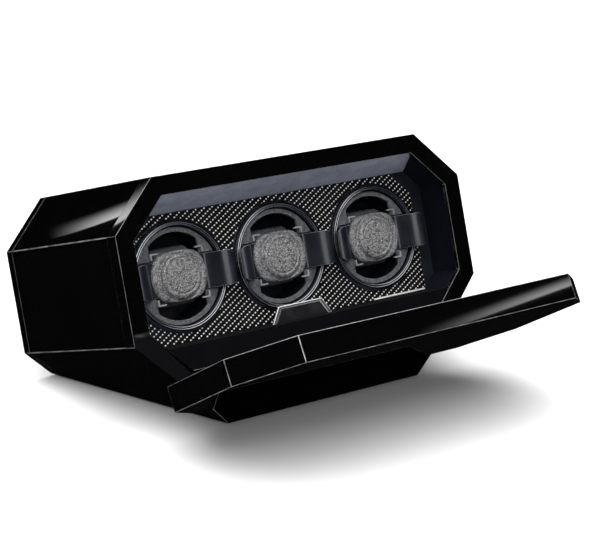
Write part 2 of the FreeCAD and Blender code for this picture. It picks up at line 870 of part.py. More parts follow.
def motor_centres():
    return [(x, y - MESH) for x, y in drum_centres()]


def motor_screw_spots():
    middle = (size("motor_radius") + size("motor_ear")) / 2
    return [(x + sign * middle, y) for x, y in motor_centres() for sign in (-1, 1)]


def gearmotors():
    body = new_body("gearmotors")
    ear, half = size("motor_ear"), size("screw_head")
    face_pad(body, PLATE_BACK, "motor_length",
             circles=[(x, y, "motor_radius") for x, y in motor_centres()])
    face_pad(body, PLATE_BACK, "motor_ear_thick", [
        box_outline(x - ear, x + ear, y - half, y + half) for x, y in motor_centres()])
    bore = size("pinion_shaft") + size("running_gap")
    shaft_end = FASCIA.value + (SIZES["drum_length"] + SIZES["hub_length"]
                                - SIZES["gear_clearance"] + SIZES["pinion_shaft_length"])
    depth = shaft_end - PLATE_BACK.value + 1
    face_pocket(body, PLATE_BACK, depth, circles=[(x, y, bore) for x, y in motor_centres()])
    face_pocket(body, PLATE_BACK, "motor_ear_thick", circles=[
        (x, y, "screw_radius") for x, y in motor_screw_spots()])
    keep(body, "gearmotors")


def screws():
    """Pan-head screws along the depth axis, put in from the back."""
    body = new_body("screws")
    head = size("screw_radius")
    shank = size("screw_radius") - size("running_gap")
    seats = [(motor_screw_spots(), PLATE_BACK + size("motor_ear_thick")),
             (cover_screw_spots(), DEPTH)]
    for spots, seat in seats:
        face_pad(body, seat - size("screw_length"), "screw_length",
                 circles=[(x, y, shank) for x, y in spots])
        face_pad(body, seat, head, circles=[(x, y, "screw_head") for x, y in spots])
    keep(body, "screws")


def circuit_corners():
    half = size("circuit_width") / 2 - size("spacer_radius") * 1.5
    low = size("circuit_low") + size("spacer_radius") * 1.5
    high = size("circuit_low") + size("circuit_height") - size("spacer_radius") * 1.5
    return [(x, y) for x in (-half, half) for y in (low, high)]


def control_board():
    body = new_body("control_board")
    half, low = size("circuit_width") / 2, size("circuit_low")
    high = low + size("circuit_height")
    front = PLATE_BACK + size("spacer_length")
    thick = size("circuit_thick")
    face_pad(body, front, thick, [box_outline(-half, half, low, high)])
    middle = (low + high) / 2
    face_pad(body, front + thick, thick * 2, [
        box_outline(x - 8, x + 8, middle - 8, middle + 8) for x in (-half / 2, size(0), half / 2)])
    keep(body, "control_board")

    body = new_body("board_spacers")
    face_pad(body, PLATE_BACK, "spacer_length", circles=[
        (x, y, "spacer_radius") for x, y in circuit_corners()])
    keep(body, "board_spacers")


# ---------------------------------------------------------------------------------------------
# Rear cover and its controls
# ---------------------------------------------------------------------------------------------

def cover_screw_spots():
    half = size("cover_half_width") - size("cover_land") / 2
    low = size("cover_low") + size("cover_land") / 2
    high = size("cover_high") - size("cover_land") / 2
    return [(x, y) for x in (-half, size(0), half) for y in (low, high)]


def control_spots():
    """Middles of the knob, the rocker and the power inlet on the rear cover."""
    height = size("cover_low") + size("cover_land") * 3
    third = size("cover_half_width") / 2
    return {"knob": (third, height), "rocker": (size(0), height), "socket": (-third, height)}


def rear_cover():
    body = new_body("rear_cover")
    half, thick = size("cover_half_width"), size("cover_thick")
    face_pad(body, COVER_FRONT, thick, [box_outline(-half, half, "cover_low", "cover_high")])
    spots = control_spots()
    knob_x, knob_y = spots["knob"]
    socket_x, socket_y = spots["socket"]
    rocker_x, rocker_y = spots["rocker"]
    gap = size("fit_gap")
    stem_hole = size("knob_stem") + size("running_gap")
    holes = [(knob_x, knob_y, stem_hole), (socket_x, socket_y, "socket_radius")]
    holes += [(x, y, "screw_radius") for x, y in cover_screw_spots()]
    face_pocket(body, COVER_FRONT, thick, circles=holes)
    wide, tall = size("rocker_width") / 2 + gap, size("rocker_height") / 2 + gap
    face_pocket(body, COVER_FRONT, thick, [
        box_outline(rocker_x - wide, rocker_x + wide, rocker_y - tall, rocker_y + tall)])
    high = size("cover_high") - size("cover_land") * 2
    low = high - size("vent_height")
    first = -size("vent_pitch") * (size("vent_count") - 1) / 2
    width = size("vent_width")
    slots = [first + size("vent_pitch") * step for step in range(int(SIZES["vent_count"]))]
    face_pocket(body, COVER_FRONT, thick, [
        box_outline(x - width / 2, x + width / 2, low, high) for x in slots])
    keep(body, "rear_cover")


def power_inlet():
    body = new_body("power_inlet")
    x, y = control_spots()["socket"]
    front = DEPTH - size("socket_length")
    face_pad(body, front, "socket_length", circles=[(x, y, "socket_radius")])
    face_pocket(body, front + size("cover_thick"), size("socket_length") - size("cover_thick"),
                circles=[(x, y, "socket_bore")])
    keep(body, "power_inlet")


def mode_switch_and_knob():
    x, y = control_spots()["knob"]
    body = new_body("mode_switch")
    half, deep = size("switch_size") / 2, size("switch_depth")
    face_pad(body, COVER_FRONT - deep, deep, [box_outline(x - half, x + half, y - half, y + half)])
    face_pocket(body, COVER_FRONT - deep + size("cover_thick"), deep - size("cover_thick"),
                circles=[(x, y, size("knob_stem") + size("running_gap"))])
    keep(body, "mode_switch")

    body = new_body("mode_knob")
    stem, radius = size("knob_stem"), size("knob_radius")
    stand_off = size("fit_gap") * 3
    inside = -size("cover_thick") * 3
    turned(body, [(0, inside), (stem, inside), (stem, stand_off), (radius, stand_off),
                  (radius, "knob_length"), (0, "knob_length")])
    pointer = size("knob_stem") / 4
    face_pocket(body, size("knob_length") - size("cover_thick") / 2, size("cover_thick") / 2,
                [box_outline(-pointer, pointer, 0, radius * 2)])
    keep(body, "mode_knob", at(x, DEPTH, y))


def power_rocker():
    """A rocker button on a round pivot that lies just behind the rear cover."""
    body = new_body("power_rocker")
    x, y = control_spots()["rocker"]
    pivot = size("rocker_pivot")
    out = size("cover_thick") + pivot + size("fit_gap")
    half, width = size("rocker_height") / 2 - size("fit_gap") * 2, size("rocker_width")
    rise = out + half * tangent(size("rocker_tilt"))
    side_pad(body, [(-out, -half / 2), (-out, half / 2), (0, half), (rise, half), (out, 0),
                    (rise, -half), (0, -half)], width - size("fit_gap"))
    sketch = sketch_on(body, "YZ_Plane")
    circle(sketch, 0, 0, pivot)
    feature(body, "Pad", sketch, width + pivot * 4, both_ways=True)
    tilt = Placement(Vector(0, 0, 0), Rotation(Vector(1, 0, 0), SIZES["rocker_tilt"]))
    keep(body, "power_rocker", at(x, DEPTH - out, y) * tilt)


# ---------------------------------------------------------------------------------------------
# Lid and hinges
# ---------------------------------------------------------------------------------------------

def lid():
    gap, thick = size("lid_gap"), size("lid_thick")
    body = new_body("lid_panel")
    face_pad(body, -thick, thick - gap, [eight_sides(0, "lid_foot")])
    rail = size("frame_rail")
    face_pocket(body, -size("lining_depth"), size("lining_depth"),
                [eight_sides(rail, size("lid_foot") + rail)])
    notch = size("knuckle_radius") + size("fit_gap")
    high = size("hinge_height") + size("leaf_height") + size("fit_gap")
    face_pocket(body, -notch, notch, [
        box_outline(left - size("fit_gap"), right + size("fit_gap"), 0, high)
        for left, right in hinge_seats()])
    magnet_height = HEIGHT - rail / 2
    face_pocket(body, -size("magnet_thick") - gap, size("magnet_thick") + gap, circles=[
        (sign * size("magnet_spread"), magnet_height, "magnet_radius") for sign in (-1, 1)])
    keep(body, "lid_panel", lid_place)

    body = new_body("lid_lining")
    inset = rail + size("fit_gap")
    face_pad(body, -size("lining_depth"), "lining_thick",
             [eight_sides(inset, size("lid_foot") + inset)])
    keep(body, "lid_lining", lid_place)


def magnets():
    height = HEIGHT - size("frame_rail") / 2
    radius = size("magnet_radius") - size("running_gap")
    discs = [(sign * size("magnet_spread"), height, radius) for sign in (-1, 1)]
    thick = size("magnet_thick")
    body = new_body("case_magnets")
    face_pad(body, size("magnet_cover"), thick, circles=discs)
    keep(body, "case_magnets")
    body = new_body("lid_magnets")
    face_pad(body, -size("lid_gap") - thick, thick, circles=discs)
    keep(body, "lid_magnets", lid_place)


def knuckles(label, spans, others, leaf_low, leaf_high, leaf_front, place):
    """Two hinge leaves with their knuckles, each cleared for the other leaf's knuckles."""
    radius, bore = SIZES["knuckle_radius"], SIZES["hinge_pin"] + SIZES["running_gap"]
    height, leaf, gap = SIZES["hinge_height"], SIZES["hinge_leaf"], SIZES["knuckle_gap"]
    around = radius + SIZES["fit_gap"]
    along = Vector(1, 0, 0)
    leaves = []
    for left, right in hinge_seats():
        start, width = left.value, right.value - left.value
        middle = start + width / 2
        solid = Part.makeBox(width, leaf, leaf_high - leaf_low,
                             Vector(start, leaf_front, leaf_low))
        for low, high in spans:
            axis_point = Vector(middle + low, 0, height)
            solid = solid.fuse(Part.makeCylinder(radius, high - low, axis_point, along))
        for low, high in others:
            corner = Vector(middle + low - gap, -around, height - around)
            clear = Part.makeBox(high - low + gap * 2, around * 2, around * 2, corner)
            solid = solid.cut(clear)
        hole = Part.makeCylinder(bore, width + 2, Vector(start - 1, 0, height), along)
        leaves.append(solid.cut(hole).removeSplitter())
    piece = doc.addObject("Part::Feature", label)
    piece.Shape = Part.makeCompound(leaves)
    keep(piece, label, place)


def hinges():
    length, gap = SIZES["knuckle_length"], SIZES["knuckle_gap"]
    height, reach = SIZES["hinge_height"], SIZES["leaf_height"]
    radius, leaf = SIZES["knuckle_radius"], SIZES["hinge_leaf"]
    half = length * 1.5 + gap * 2
    middle_span = [(-length / 2, length / 2)]
    end_spans = [(-half, -length / 2 - gap), (length / 2 + gap, half)]
    seat = radius + SIZES["fit_gap"]
    knuckles("case_hinge_leaves", middle_span, end_spans, height - reach, height,
             seat - leaf, case_place)
    knuckles("lid_hinge_leaves", end_spans, middle_span, height, height + reach,
             -seat, lid_place)
    rods = [Part.makeCylinder(SIZES["hinge_pin"], right.value - left.value,
                              Vector(left.value, 0, height), Vector(1, 0, 0))
            for left, right in hinge_seats()]
    pins = doc.addObject("Part::Feature", "hinge_pins")
    pins.Shape = Part.makeCompound(rods)
    keep(pins, "hinge_pins")


# ---------------------------------------------------------------------------------------------
# Build
# ---------------------------------------------------------------------------------------------

front_frame()
plinth_board()
wall_boards()
rear_board()
base_felt()
linings()
panel_and_fascia()
bezels()
badge_and_trim()
for drum_name, drum_centre in zip(DRUM_NAMES, drum_centres()):
    drum_place = at(drum_centre[0], FASCIA, drum_centre[1])
    drum_shell(drum_name, drum_place)
    drum_face(drum_name, drum_place)
    holder_frame(drum_name, drum_place)
    holder_cushion(drum_name, drum_place)
    holder_pad(drum_name, drum_place)
    holder_medallion(drum_name, drum_place)
    drum_drive(drum_name, drum_centre, drum_place)
motor_plate()
bearings()
gearmotors()
control_board()
rear_cover()
power_inlet()
mode_switch_and_knob()
power_rocker()
screws()
lid()
magnets()
hinges()
doc.recompute()

faults = [item.Name for item in doc.Objects if {"Invalid", "Error"} & set(item.State)]
for node in nodes:
    if node.Shape.isNull() or not node.Shape.isValid() or not node.Shape.Solids:
        faults.append(node.Label)
if faults:
    raise RuntimeError("failed: " + ", ".join(faults))

os.makedirs("parts", exist_ok=True)
for node in nodes:
    node.Shape.exportStep("parts/%s.step" % node.Label)
    print(node.Label, len(node.Shape.Solids), "solids", round(node.Shape.Volume / 1000, 1), "cm3")
print(len(nodes), "nodes")
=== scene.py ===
# %% [markdown]
# # A three-drum watch winder box, dressed for its portrait
# The box itself comes from the CAD model: every board, ring and screw already has its true
# size and place. What is made here is what a cabinet maker and an upholsterer add: softened
# edges, polished lacquer, woven cloth, grained leather. Everything is in metres.

# %% Load the frame
import json
import math

import bmesh
import bpy
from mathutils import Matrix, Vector, noise


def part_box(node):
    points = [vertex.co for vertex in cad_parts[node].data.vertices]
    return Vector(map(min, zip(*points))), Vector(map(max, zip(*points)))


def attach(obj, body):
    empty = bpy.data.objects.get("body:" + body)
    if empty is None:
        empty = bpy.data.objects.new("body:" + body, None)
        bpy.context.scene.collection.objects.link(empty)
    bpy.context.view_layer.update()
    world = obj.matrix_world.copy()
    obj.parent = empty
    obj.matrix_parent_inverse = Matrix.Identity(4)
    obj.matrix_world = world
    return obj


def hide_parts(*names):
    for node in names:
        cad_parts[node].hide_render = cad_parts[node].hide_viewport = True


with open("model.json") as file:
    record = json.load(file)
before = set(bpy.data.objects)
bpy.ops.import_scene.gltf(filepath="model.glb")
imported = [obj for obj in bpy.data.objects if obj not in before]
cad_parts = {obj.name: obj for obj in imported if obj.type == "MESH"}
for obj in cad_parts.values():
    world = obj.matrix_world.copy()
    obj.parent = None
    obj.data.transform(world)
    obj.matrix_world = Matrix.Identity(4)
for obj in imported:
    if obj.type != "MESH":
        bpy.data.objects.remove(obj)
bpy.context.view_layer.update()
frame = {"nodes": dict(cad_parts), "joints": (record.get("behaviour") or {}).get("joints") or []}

nodes = frame["nodes"]
joints = {joint["name"]: joint for joint in frame["joints"]}

# %% [markdown]
# The case leans back, so it is easier to think in its own directions: across, into the case and
# up along the front face. The drums turn about the direction into the case, and the lid's hinge
# lies on the front face, so those two joints say where the leaning frame is.

# %% Find the leaning frame
MM = 0.001
DRUMS = ("left", "centre", "right")
HINGE_HEIGHT = 42 * MM
ACROSS = Vector((1, 0, 0))
INTO = Vector(joints["drum_spin_centre"]["axis"]).normalized()
UP = ACROSS.cross(INTO)
HINGE_POINT = Vector(joints["lid_hinge"]["pos_m"])
FRONT_FOOT = HINGE_POINT - UP * HINGE_HEIGHT
LEAN = math.atan2(-INTO.z, INTO.y)


def leaning(across, into, up):
    """The point of the shared frame at a place of the leaning frame."""
    return FRONT_FOOT + ACROSS * across + INTO * into + UP * up


def place_in_case(point):
    """Where a point of the shared frame lies in the leaning frame: across, into, up."""
    offset = point - FRONT_FOOT
    return Vector((offset.x, offset.dot(INTO), offset.dot(UP)))


drum_axis = {name: place_in_case(Vector(joints["drum_spin_" + name]["pos_m"])) for name in DRUMS}
print("lean", round(math.degrees(LEAN), 2), "drum centres (mm)",
      {name: tuple(round(value / MM, 1) for value in spot) for name, spot in drum_axis.items()})

# %% [markdown]
# Shader maths reads best as ordinary sums. `Wire` wraps one output socket of a node and gives it
# the usual signs; each sum adds the Math or Vector Math node that does it. Python asks the right
# side of a sum when the left side is only a number, so each sign has its reflected form too. Any
# other node comes from `Wire.node` or, where there is no wire yet, from `add_node`. Both take the
# node's type, its settings and the values of its sockets.

# %% A small language for shaders
class Wire:
    """One output of a shader node, which can be added, multiplied and compared."""

    def __init__(self, tree, socket):
        self.tree = tree
        self.socket = socket

    @property
    def is_vector(self):
        return self.socket.type == "VECTOR"

    def node(self, kind, settings=None, inputs=None, output=0):
        return add_node(self.tree, kind, settings, inputs, output)

    def maths(self, operation, *others):
        kind = "ShaderNodeVectorMath" if self.is_vector else "ShaderNodeMath"
        inputs = dict(enumerate((self,) + others))
        return self.node(kind, {"operation": operation}, inputs)

    def swapped(self, operation, other):
        if self.is_vector:
            return self.node("ShaderNodeVectorMath", {"operation": operation},
                             {0: (other,) * 3, 1: self})
        return self.node("ShaderNodeMath", {"operation": operation}, {0: other, 1: self})

    def __add__(self, other):
        return self.maths("ADD", other)

    __radd__ = __add__

    def __sub__(self, other):
        return self.maths("SUBTRACT", other)

    def __rsub__(self, other):
        return self.swapped("SUBTRACT", other)

    def __mul__(self, other):
        return self.maths("MULTIPLY", other)

    __rmul__ = __mul__

    def __truediv__(self, other):
        return self.maths("DIVIDE", other)

    def __rtruediv__(self, other):
        return self.swapped("DIVIDE", other)

    def __gt__(self, other):
        return self.maths("GREATER_THAN", other)

    def __lt__(self, other):
        return self.maths("LESS_THAN", other)

    def fraction(self):
        return self.maths("FRACT")

    def root(self):
        return self.maths("SQRT")

    def sine(self):
        return self.maths("SINE")

    def fade(self, low, high, start=0.0, end=1.0):
        """Runs smoothly from start to end as this value runs from low to high."""
        return self.node("ShaderNodeMapRange", {"interpolation_type": "SMOOTHSTEP"},
                         {"Value": self, "From Min": low, "From Max": high,
                          "To Min": start, "To Max": end})

    def parts(self):
        split = self.tree.nodes.new("ShaderNodeSeparateXYZ")
        self.tree.links.new(self.socket, split.inputs[0])
        return [Wire(self.tree, output) for output in split.outputs]

    def between(self, low_colour, high_colour):
        """A colour that runs from one to the other as this value runs from 0 to 1."""
        return self.node("ShaderNodeMix", {"data_type": "RGBA"},
                         {0: self, 6: low_colour, 7: high_colour}, output=2)


def fill_socket(tree, socket, value):
    if isinstance(value, Wire):
        tree.links.new(value.socket, socket)
    elif hasattr(socket.default_value, "__len__"):
        wanted = len(socket.default_value)
        numbers = tuple(value) if hasattr(value, "__len__") else (value,) * wanted
        socket.default_value = (numbers + (1.0,) * wanted)[:wanted]
    else:
        socket.default_value = value


def add_node(tree, kind, settings=None, inputs=None, output=0):
    made = tree.nodes.new(kind)
    for name, value in (settings or {}).items():
        if name == "stops":
            while len(made.color_ramp.elements) < len(value):
                made.color_ramp.elements.new(1.0)
            for element, (place, colour) in zip(made.color_ramp.elements, value):
                element.position = place
                element.color = tuple(colour) + (1.0,)
        else:
            setattr(made, name, value)
    for name, value in (inputs or {}).items():
        fill_socket(tree, made.inputs[name], value)
    return Wire(tree, made.outputs[output])


class Finish:
    """A material under construction: its shader, and places to measure its patterns from."""

    def __init__(self, name):
        self.material = bpy.data.materials.new(name)
        self.material.use_nodes = True
        self.tree = self.material.node_tree
        self.shader = self.tree.nodes["Principled BSDF"]

    def place(self):
        """Where a point of the surface lies, in metres."""
        return add_node(self.tree, "ShaderNodeTexCoord", output=3)

    def leaning_place(self):
        """The same, as across, into and up in the leaning case, each in millimetres."""
        x, y, z = self.place().parts()
        cos_lean, sin_lean = math.cos(LEAN), math.sin(LEAN)
        y = y - FRONT_FOOT.y
        z = z - FRONT_FOOT.z
        into = (y * cos_lean - z * sin_lean) / MM
        up = (y * sin_lean + z * cos_lean) / MM
        return x / MM, into, up

    def noise(self, size, detail=3.0, roughness=0.5, where=None):
        """Cloudy noise from 0 to 1 whose blobs are about size metres across."""
        return add_node(self.tree, "ShaderNodeTexNoise", None,
                        {"Vector": where or self.place(), "Scale": 1.0 / size,
                         "Detail": detail, "Roughness": roughness})

    def cells(self, size, feature="F1", where=None, randomness=1.0):
        """Distance from the middles (or the borders) of random cells of a size in metres."""
        return add_node(self.tree, "ShaderNodeTexVoronoi", {"feature": feature},
                        {"Vector": where or self.place(), "Scale": 1.0 / size,
                         "Randomness": randomness})

    def bump(self, height, strength, depth):
        """A normal for a height from 0 to 1 that stands depth metres high."""
        return add_node(self.tree, "ShaderNodeBump", None,
                        {"Height": height, "Strength": strength, "Distance": depth})

    def set(self, **inputs):
        for name, value in inputs.items():
            fill_socket(self.tree, self.shader.inputs[name.replace("_", " ")], value)
        return self.material


print("shader language ready")

# %% [markdown]
# Piano lacquer is a black ground under a thick clear coat that has been sanded and buffed. It is
# almost a mirror, so its look is made by what it reflects: the coat gets a trace of orange peel,
# a few dust-fine buffing marks and a faintly warmer ground where light gets into it.

# %% Piano black lacquer
def piano_lacquer():
    made = Finish("piano_lacquer")
    haze = made.noise(60 * MM, 4.0)
    buffing = made.noise(0.9 * MM, 2.0)
    peel = made.noise(4.5 * MM, 1.0)
    return made.set(
        Base_Color=haze.between((0.0004, 0.0004, 0.0005), (0.0016, 0.0015, 0.0014)),
        Roughness=buffing.fade(0.3, 0.75, 0.16, 0.24),
        Specular_IOR_Level=0.0,
        Coat_Weight=1.0, Coat_Roughness=0.02, Coat_IOR=1.5,
        Normal=made.bump(peel, 0.05, 0.03 * MM))


def arris_painted_highlight():
    """The eased edge of a lacquered board: a grey line of painted highlight for the light the
    rounded edge catches.
    """
    made = Finish("arris_painted_highlight")
    along = made.noise(9 * MM, 3.0)
    fine = made.noise(0.8 * MM, 2.0)
    # Painted highlight: the grey base colour stands for light caught by the rounded edge, uneven
    # along it by noise.
    highlight_strength = along.fade(0.35, 0.65) * 0.7 + fine.fade(0.3, 0.7) * 0.3
    return made.set(
        Base_Color=highlight_strength.between((0.05, 0.05, 0.054), (0.22, 0.22, 0.23)),
        Roughness=fine.fade(0.3, 0.7, 0.18, 0.3), Specular_IOR_Level=0.6,
        Coat_Weight=1.0, Coat_Roughness=0.05)


lacquer = piano_lacquer()
arris = arris_painted_highlight()
print("made", lacquer.name, "and", arris.name)

# %% [markdown]
# Cloth: the bay is lined with a fine woven cloth, blue-grey on the ceiling and nearly black navy
# on the walls and ledge. A plain weave is two sets of ribs crossing, so two sine waves do for the
# threads, and noise gives the flecked look that real yarn has.

# %% Woven lining cloth and felt
def woven_cloth(name, dark, light, thread=0.55, fuzz=0.35, shine=0.25):
    made = Finish(name)
    across, into, up = made.leaning_place()
    turn = 2 * math.pi / thread
    ribs = (across * turn).sine() * ((up + into) * turn).sine()
    fleck = made.noise(0.8 * MM, 3.0, 0.65)
    cloud = made.noise(14 * MM, 3.0)
    tone = fleck.fade(0.3, 0.7) * 0.6 + cloud.fade(0.3, 0.7) * 0.25 + (ribs + 1) * 0.075
    made.set(Base_Color=tone.between(dark, light), Roughness=fleck.fade(0.2, 0.8, 0.78, 0.95),
             Sheen_Weight=fuzz, Sheen_Roughness=0.4, Specular_IOR_Level=shine,
             Normal=made.bump(ribs * 0.5 + fleck, 0.6, 0.12 * MM))
    return made.material


ceiling_cloth = woven_cloth("ceiling_cloth", (0.095, 0.108, 0.150), (0.30, 0.325, 0.41), fuzz=0.15)
wall_cloth = woven_cloth("wall_cloth", (0.0025, 0.003, 0.006), (0.008, 0.0095, 0.017),
                          fuzz=0.02, shine=0.03)
ledge_cloth = woven_cloth("ledge_cloth", (0.0012, 0.0012, 0.0016), (0.0045, 0.0047, 0.006),
                           fuzz=0.01, shine=0.03)
felt = woven_cloth("felt", (0.006, 0.006, 0.007), (0.025, 0.025, 0.028), thread=2.5, fuzz=0.6)
lid_cloth = woven_cloth("lid_cloth", (0.016, 0.018, 0.026), (0.055, 0.060, 0.082),
                        fuzz=0.1, shine=0.1)
print("cloths:", ceiling_cloth.name, wall_cloth.name, ledge_cloth.name, felt.name)

# %% [markdown]
# The fascia is a twill of black yarn whose short floats catch the light; the glint on each float
# is painted as a near-white colour. The floats lie on slanting rows, so the pattern is a lattice
# with one step along a row and one step to the next row. Two fractions give the place inside one
# lattice cell, and the distance from the cell's middle gives the float.

# %% Twill fascia
STEP_ACROSS, STEP_UP, ROW_GAP = 2.9, 1.75, 9.3


def twill():
    made = Finish("fascia_twill")
    across, into, up = made.leaning_place()
    sway = made.noise(9 * MM, 2.0) * 0.3
    along_row = (up + sway) / STEP_UP
    which_row = (across - up * (STEP_ACROSS / STEP_UP)) / ROW_GAP
    in_step = along_row.fraction() - 0.5
    in_row = which_row.fraction() - 0.5
    sideways = in_step * STEP_ACROSS + in_row * ROW_GAP
    upright = in_step * STEP_UP
    float_size = ((sideways * sideways) * 0.85 + (upright * upright) * 1.25).root()
    # The floats are painted highlights: a near-white colour that stands for the glint of light on
    # each float.
    bright = float_size.fade(0.62, 0.92, 1.0, 0.0)
    under = ((across - up) * (2 * math.pi / 1.5)).sine() * ((across + up) * (math.pi / 1.5)).sine()
    strand = made.noise(0.5 * MM, 2.0)
    ground = under.fade(-1.0, 1.0).between((0.0004, 0.0004, 0.0005), (0.0022, 0.0022, 0.0028))
    glint_colour = strand.fade(0.3, 0.7).between((0.74, 0.73, 0.71), (0.98, 0.97, 0.95))
    colour = bright.between(ground, glint_colour)
    return made.set(
        Base_Color=colour, Roughness=bright.fade(0.0, 1.0, 0.38, 0.5),
        Specular_IOR_Level=0.2, Coat_Weight=0.12, Coat_Roughness=0.12,
        Normal=made.bump(bright * 0.8 + under * 0.1, 0.5, 0.25 * MM))


fascia_twill = twill()
print("made", fascia_twill.name)

# %% [markdown]
# Leather: the pads and the raised discs are covered in one grey leather. Its grain is a net of
# fine creases between pebbles, with a few wider wrinkles. Its colour holds painted shade and
# painted highlight: near black in the creases and light grey on the pebbles' tops.

# %% Grained leather
def grained_leather(name, crease, pebble, grain=2.0):
    made = Finish(name)
    where = made.place()
    warp = made.noise(5 * MM, 2.0) * (1.2 * MM)
    moved = where + warp
    pebbles = made.cells(grain * MM, "DISTANCE_TO_EDGE", moved)
    small = made.cells(0.45 * grain * MM, "DISTANCE_TO_EDGE", moved)
    wrinkle = made.noise(3.2 * MM, 4.0, 0.6)
    dome = pebbles.fade(0.0, 0.30) * 0.7 + small.fade(0.0, 0.3) * 0.2 + wrinkle * 0.35
    # Painted shade and highlight: the colour runs from the crease colour in the hollows to the
    # pebble colour on the tops, following the same cells and wrinkles as the bump.
    tone = pebbles.fade(0.02, 0.22) * 0.6 + wrinkle.fade(0.38, 0.62) * 0.4
    return made.set(
        Base_Color=tone.between(crease, pebble),
        Roughness=tone.fade(0.0, 1.0, 0.5, 0.26), Specular_IOR_Level=0.9,
        Coat_Weight=0.35, Coat_Roughness=0.2,
        Normal=made.bump(dome, 1.0, 0.45 * MM))


pad_leather = grained_leather("pad_leather", (0.014, 0.014, 0.015), (0.31, 0.31, 0.32))
disc_leather = grained_leather("disc_leather", (0.014, 0.014, 0.015), (0.33, 0.328, 0.325), 2.2)
cushion_leather = grained_leather("cushion_leather", (0.018, 0.019, 0.023),
                                  (0.085, 0.090, 0.105), 0.9)
print("leathers:", pad_leather.name, disc_leather.name, cushion_leather.name)

# %% [markdown]
# Moulded plastic has a spark-eroded grain: very small rounded pits, a slight change of gloss from
# place to place and, on thick parts, faint flow marks. One recipe makes the satin wings, the grey
# drum rings and the black rear cover.

# %% Moulded plastics
def moulded(name, dark, light, gloss=0.35, grain=0.5, depth=0.05, coat=0.0, flow_size=18):
    made = Finish(name)
    pits = made.cells(grain * MM, "SMOOTH_F1")
    flow = made.noise(flow_size * MM, 4.0)
    dust = made.noise(0.6 * MM, 2.0)
    tone = flow.fade(0.3, 0.7) * 0.55 + dust.fade(0.3, 0.7) * 0.45
    return made.set(
        Base_Color=tone.between(dark, light),
        Roughness=flow.fade(0.3, 0.7, gloss - 0.04, gloss + 0.06),
        Coat_Weight=coat, Coat_Roughness=0.15,
        Normal=made.bump(pits, 0.5, depth * MM))


wing_plastic = moulded("wing_plastic", (0.0035, 0.0048, 0.0095), (0.008, 0.0105, 0.018),
                       0.38, 0.4, 0.02, 0.25)
# Painted highlight: the wings' eased edges get a light grey colour that stands for the bright line
# of light along them.
wing_edge_highlight = moulded("wing_edge_highlight", (0.16, 0.17, 0.19), (0.42, 0.44, 0.48), 0.2, 0.4, 0.01, 0.5)
ring_plastic = moulded("ring_plastic", (0.022, 0.023, 0.026), (0.165, 0.168, 0.178),
                       0.5, 1.1, 0.25, flow_size=2.6)
bezel_plastic = moulded("bezel_plastic", (0.003, 0.0035, 0.006), (0.007, 0.008, 0.013),
                        0.22, 0.5, 0.01, 0.5)
drum_plastic = moulded("drum_plastic", (0.0035, 0.004, 0.006), (0.009, 0.010, 0.014),
                       0.28, 0.6, 0.02)
clip_plastic = moulded("clip_plastic", (0.16, 0.16, 0.165), (0.34, 0.34, 0.35),
                       0.3, 0.5, 0.02, 0.3)
panel_plastic = moulded("panel_plastic", (0.002, 0.0025, 0.005), (0.006, 0.007, 0.013),
                        0.5, 0.5, 0.05)
rear_plastic = moulded("rear_plastic", (0.016, 0.016, 0.018), (0.045, 0.045, 0.049),
                       0.45, 0.9, 0.16)
inlet_plastic = moulded("inlet_plastic", (0.003, 0.003, 0.004), (0.009, 0.009, 0.010),
                        0.3, 0.8, 0.03)
acetal = moulded("acetal", (0.66, 0.65, 0.60), (0.80, 0.79, 0.74), 0.4, 0.8, 0.02)
badge_plastic = moulded("badge_plastic", (0.002, 0.002, 0.003), (0.012, 0.012, 0.014),
                        0.4, 1.2, 0.005, 0.1)
print("plastics ready")

# %% [markdown]
# Metals: the badge frame, trim bar and knob are polished or brushed. Brushing is noise pulled
# out along one direction, which changes the roughness and leaves fine grooves.

# %% Metals and the circuit board
def brushed(name, colour, rough, stretch=(60.0, 1.0, 60.0), depth=0.02, metal=1.0):
    made = Finish(name)
    pulled = add_node(made.tree, "ShaderNodeMapping", None,
                      {"Vector": made.place(), "Scale": stretch})
    lines = made.noise(12 * MM, 3.0, 0.6, pulled)
    stain = made.noise(15 * MM, 3.0)
    darker = tuple(0.82 * part for part in colour)
    return made.set(
        Base_Color=stain.fade(0.3, 0.7).between(darker, colour), Metallic=metal,
        Roughness=lines.fade(0.2, 0.8, rough * 0.8, rough * 1.25),
        Normal=made.bump(lines, 0.3, depth * MM))


dark_chrome = brushed("dark_chrome", (0.45, 0.46, 0.49), 0.3, depth=0.002)
satin_nickel = brushed("satin_nickel", (0.97, 0.96, 0.93), 0.4, depth=0.004, metal=0.35)
polished = brushed("polished_nickel", (0.86, 0.85, 0.82), 0.12, depth=0.003)
steel = brushed("zinc_steel", (0.62, 0.63, 0.65), 0.38, metal=0.7)
motor_can = brushed("motor_can", (0.58, 0.58, 0.60), 0.28)
bronze = brushed("sintered_bronze", (0.52, 0.36, 0.18), 0.45)
brass = brushed("turned_brass", (0.72, 0.56, 0.26), 0.25)
knob_metal = brushed("knob_aluminium", (0.58, 0.58, 0.60), 0.28)


def circuit():
    made = Finish("circuit_board")
    squares = made.cells(3.5 * MM, "DISTANCE_TO_EDGE", randomness=0.6)
    tracks = squares.fade(0.02, 0.06)
    return made.set(
        Base_Color=tracks.between((0.03, 0.22, 0.09), (0.012, 0.10, 0.045)),
        Roughness=0.35, Coat_Weight=0.4, Normal=made.bump(tracks, 0.3, 0.03 * MM))


circuit_board = circuit()
print("metals ready")

# %% [markdown]
# Real edges are never knife-sharp: lacquered boards are eased with a sanding block, and moulded or
# machined parts have a small radius that catches the light. A CAD node can't be changed. The CAD
# node itself is left as it is, so a piece that needs eased edges is a copy of the node, cleaned of
# the triangles that the export made, with a Bevel modifier; the copy then stands for the node,
# which is hidden.

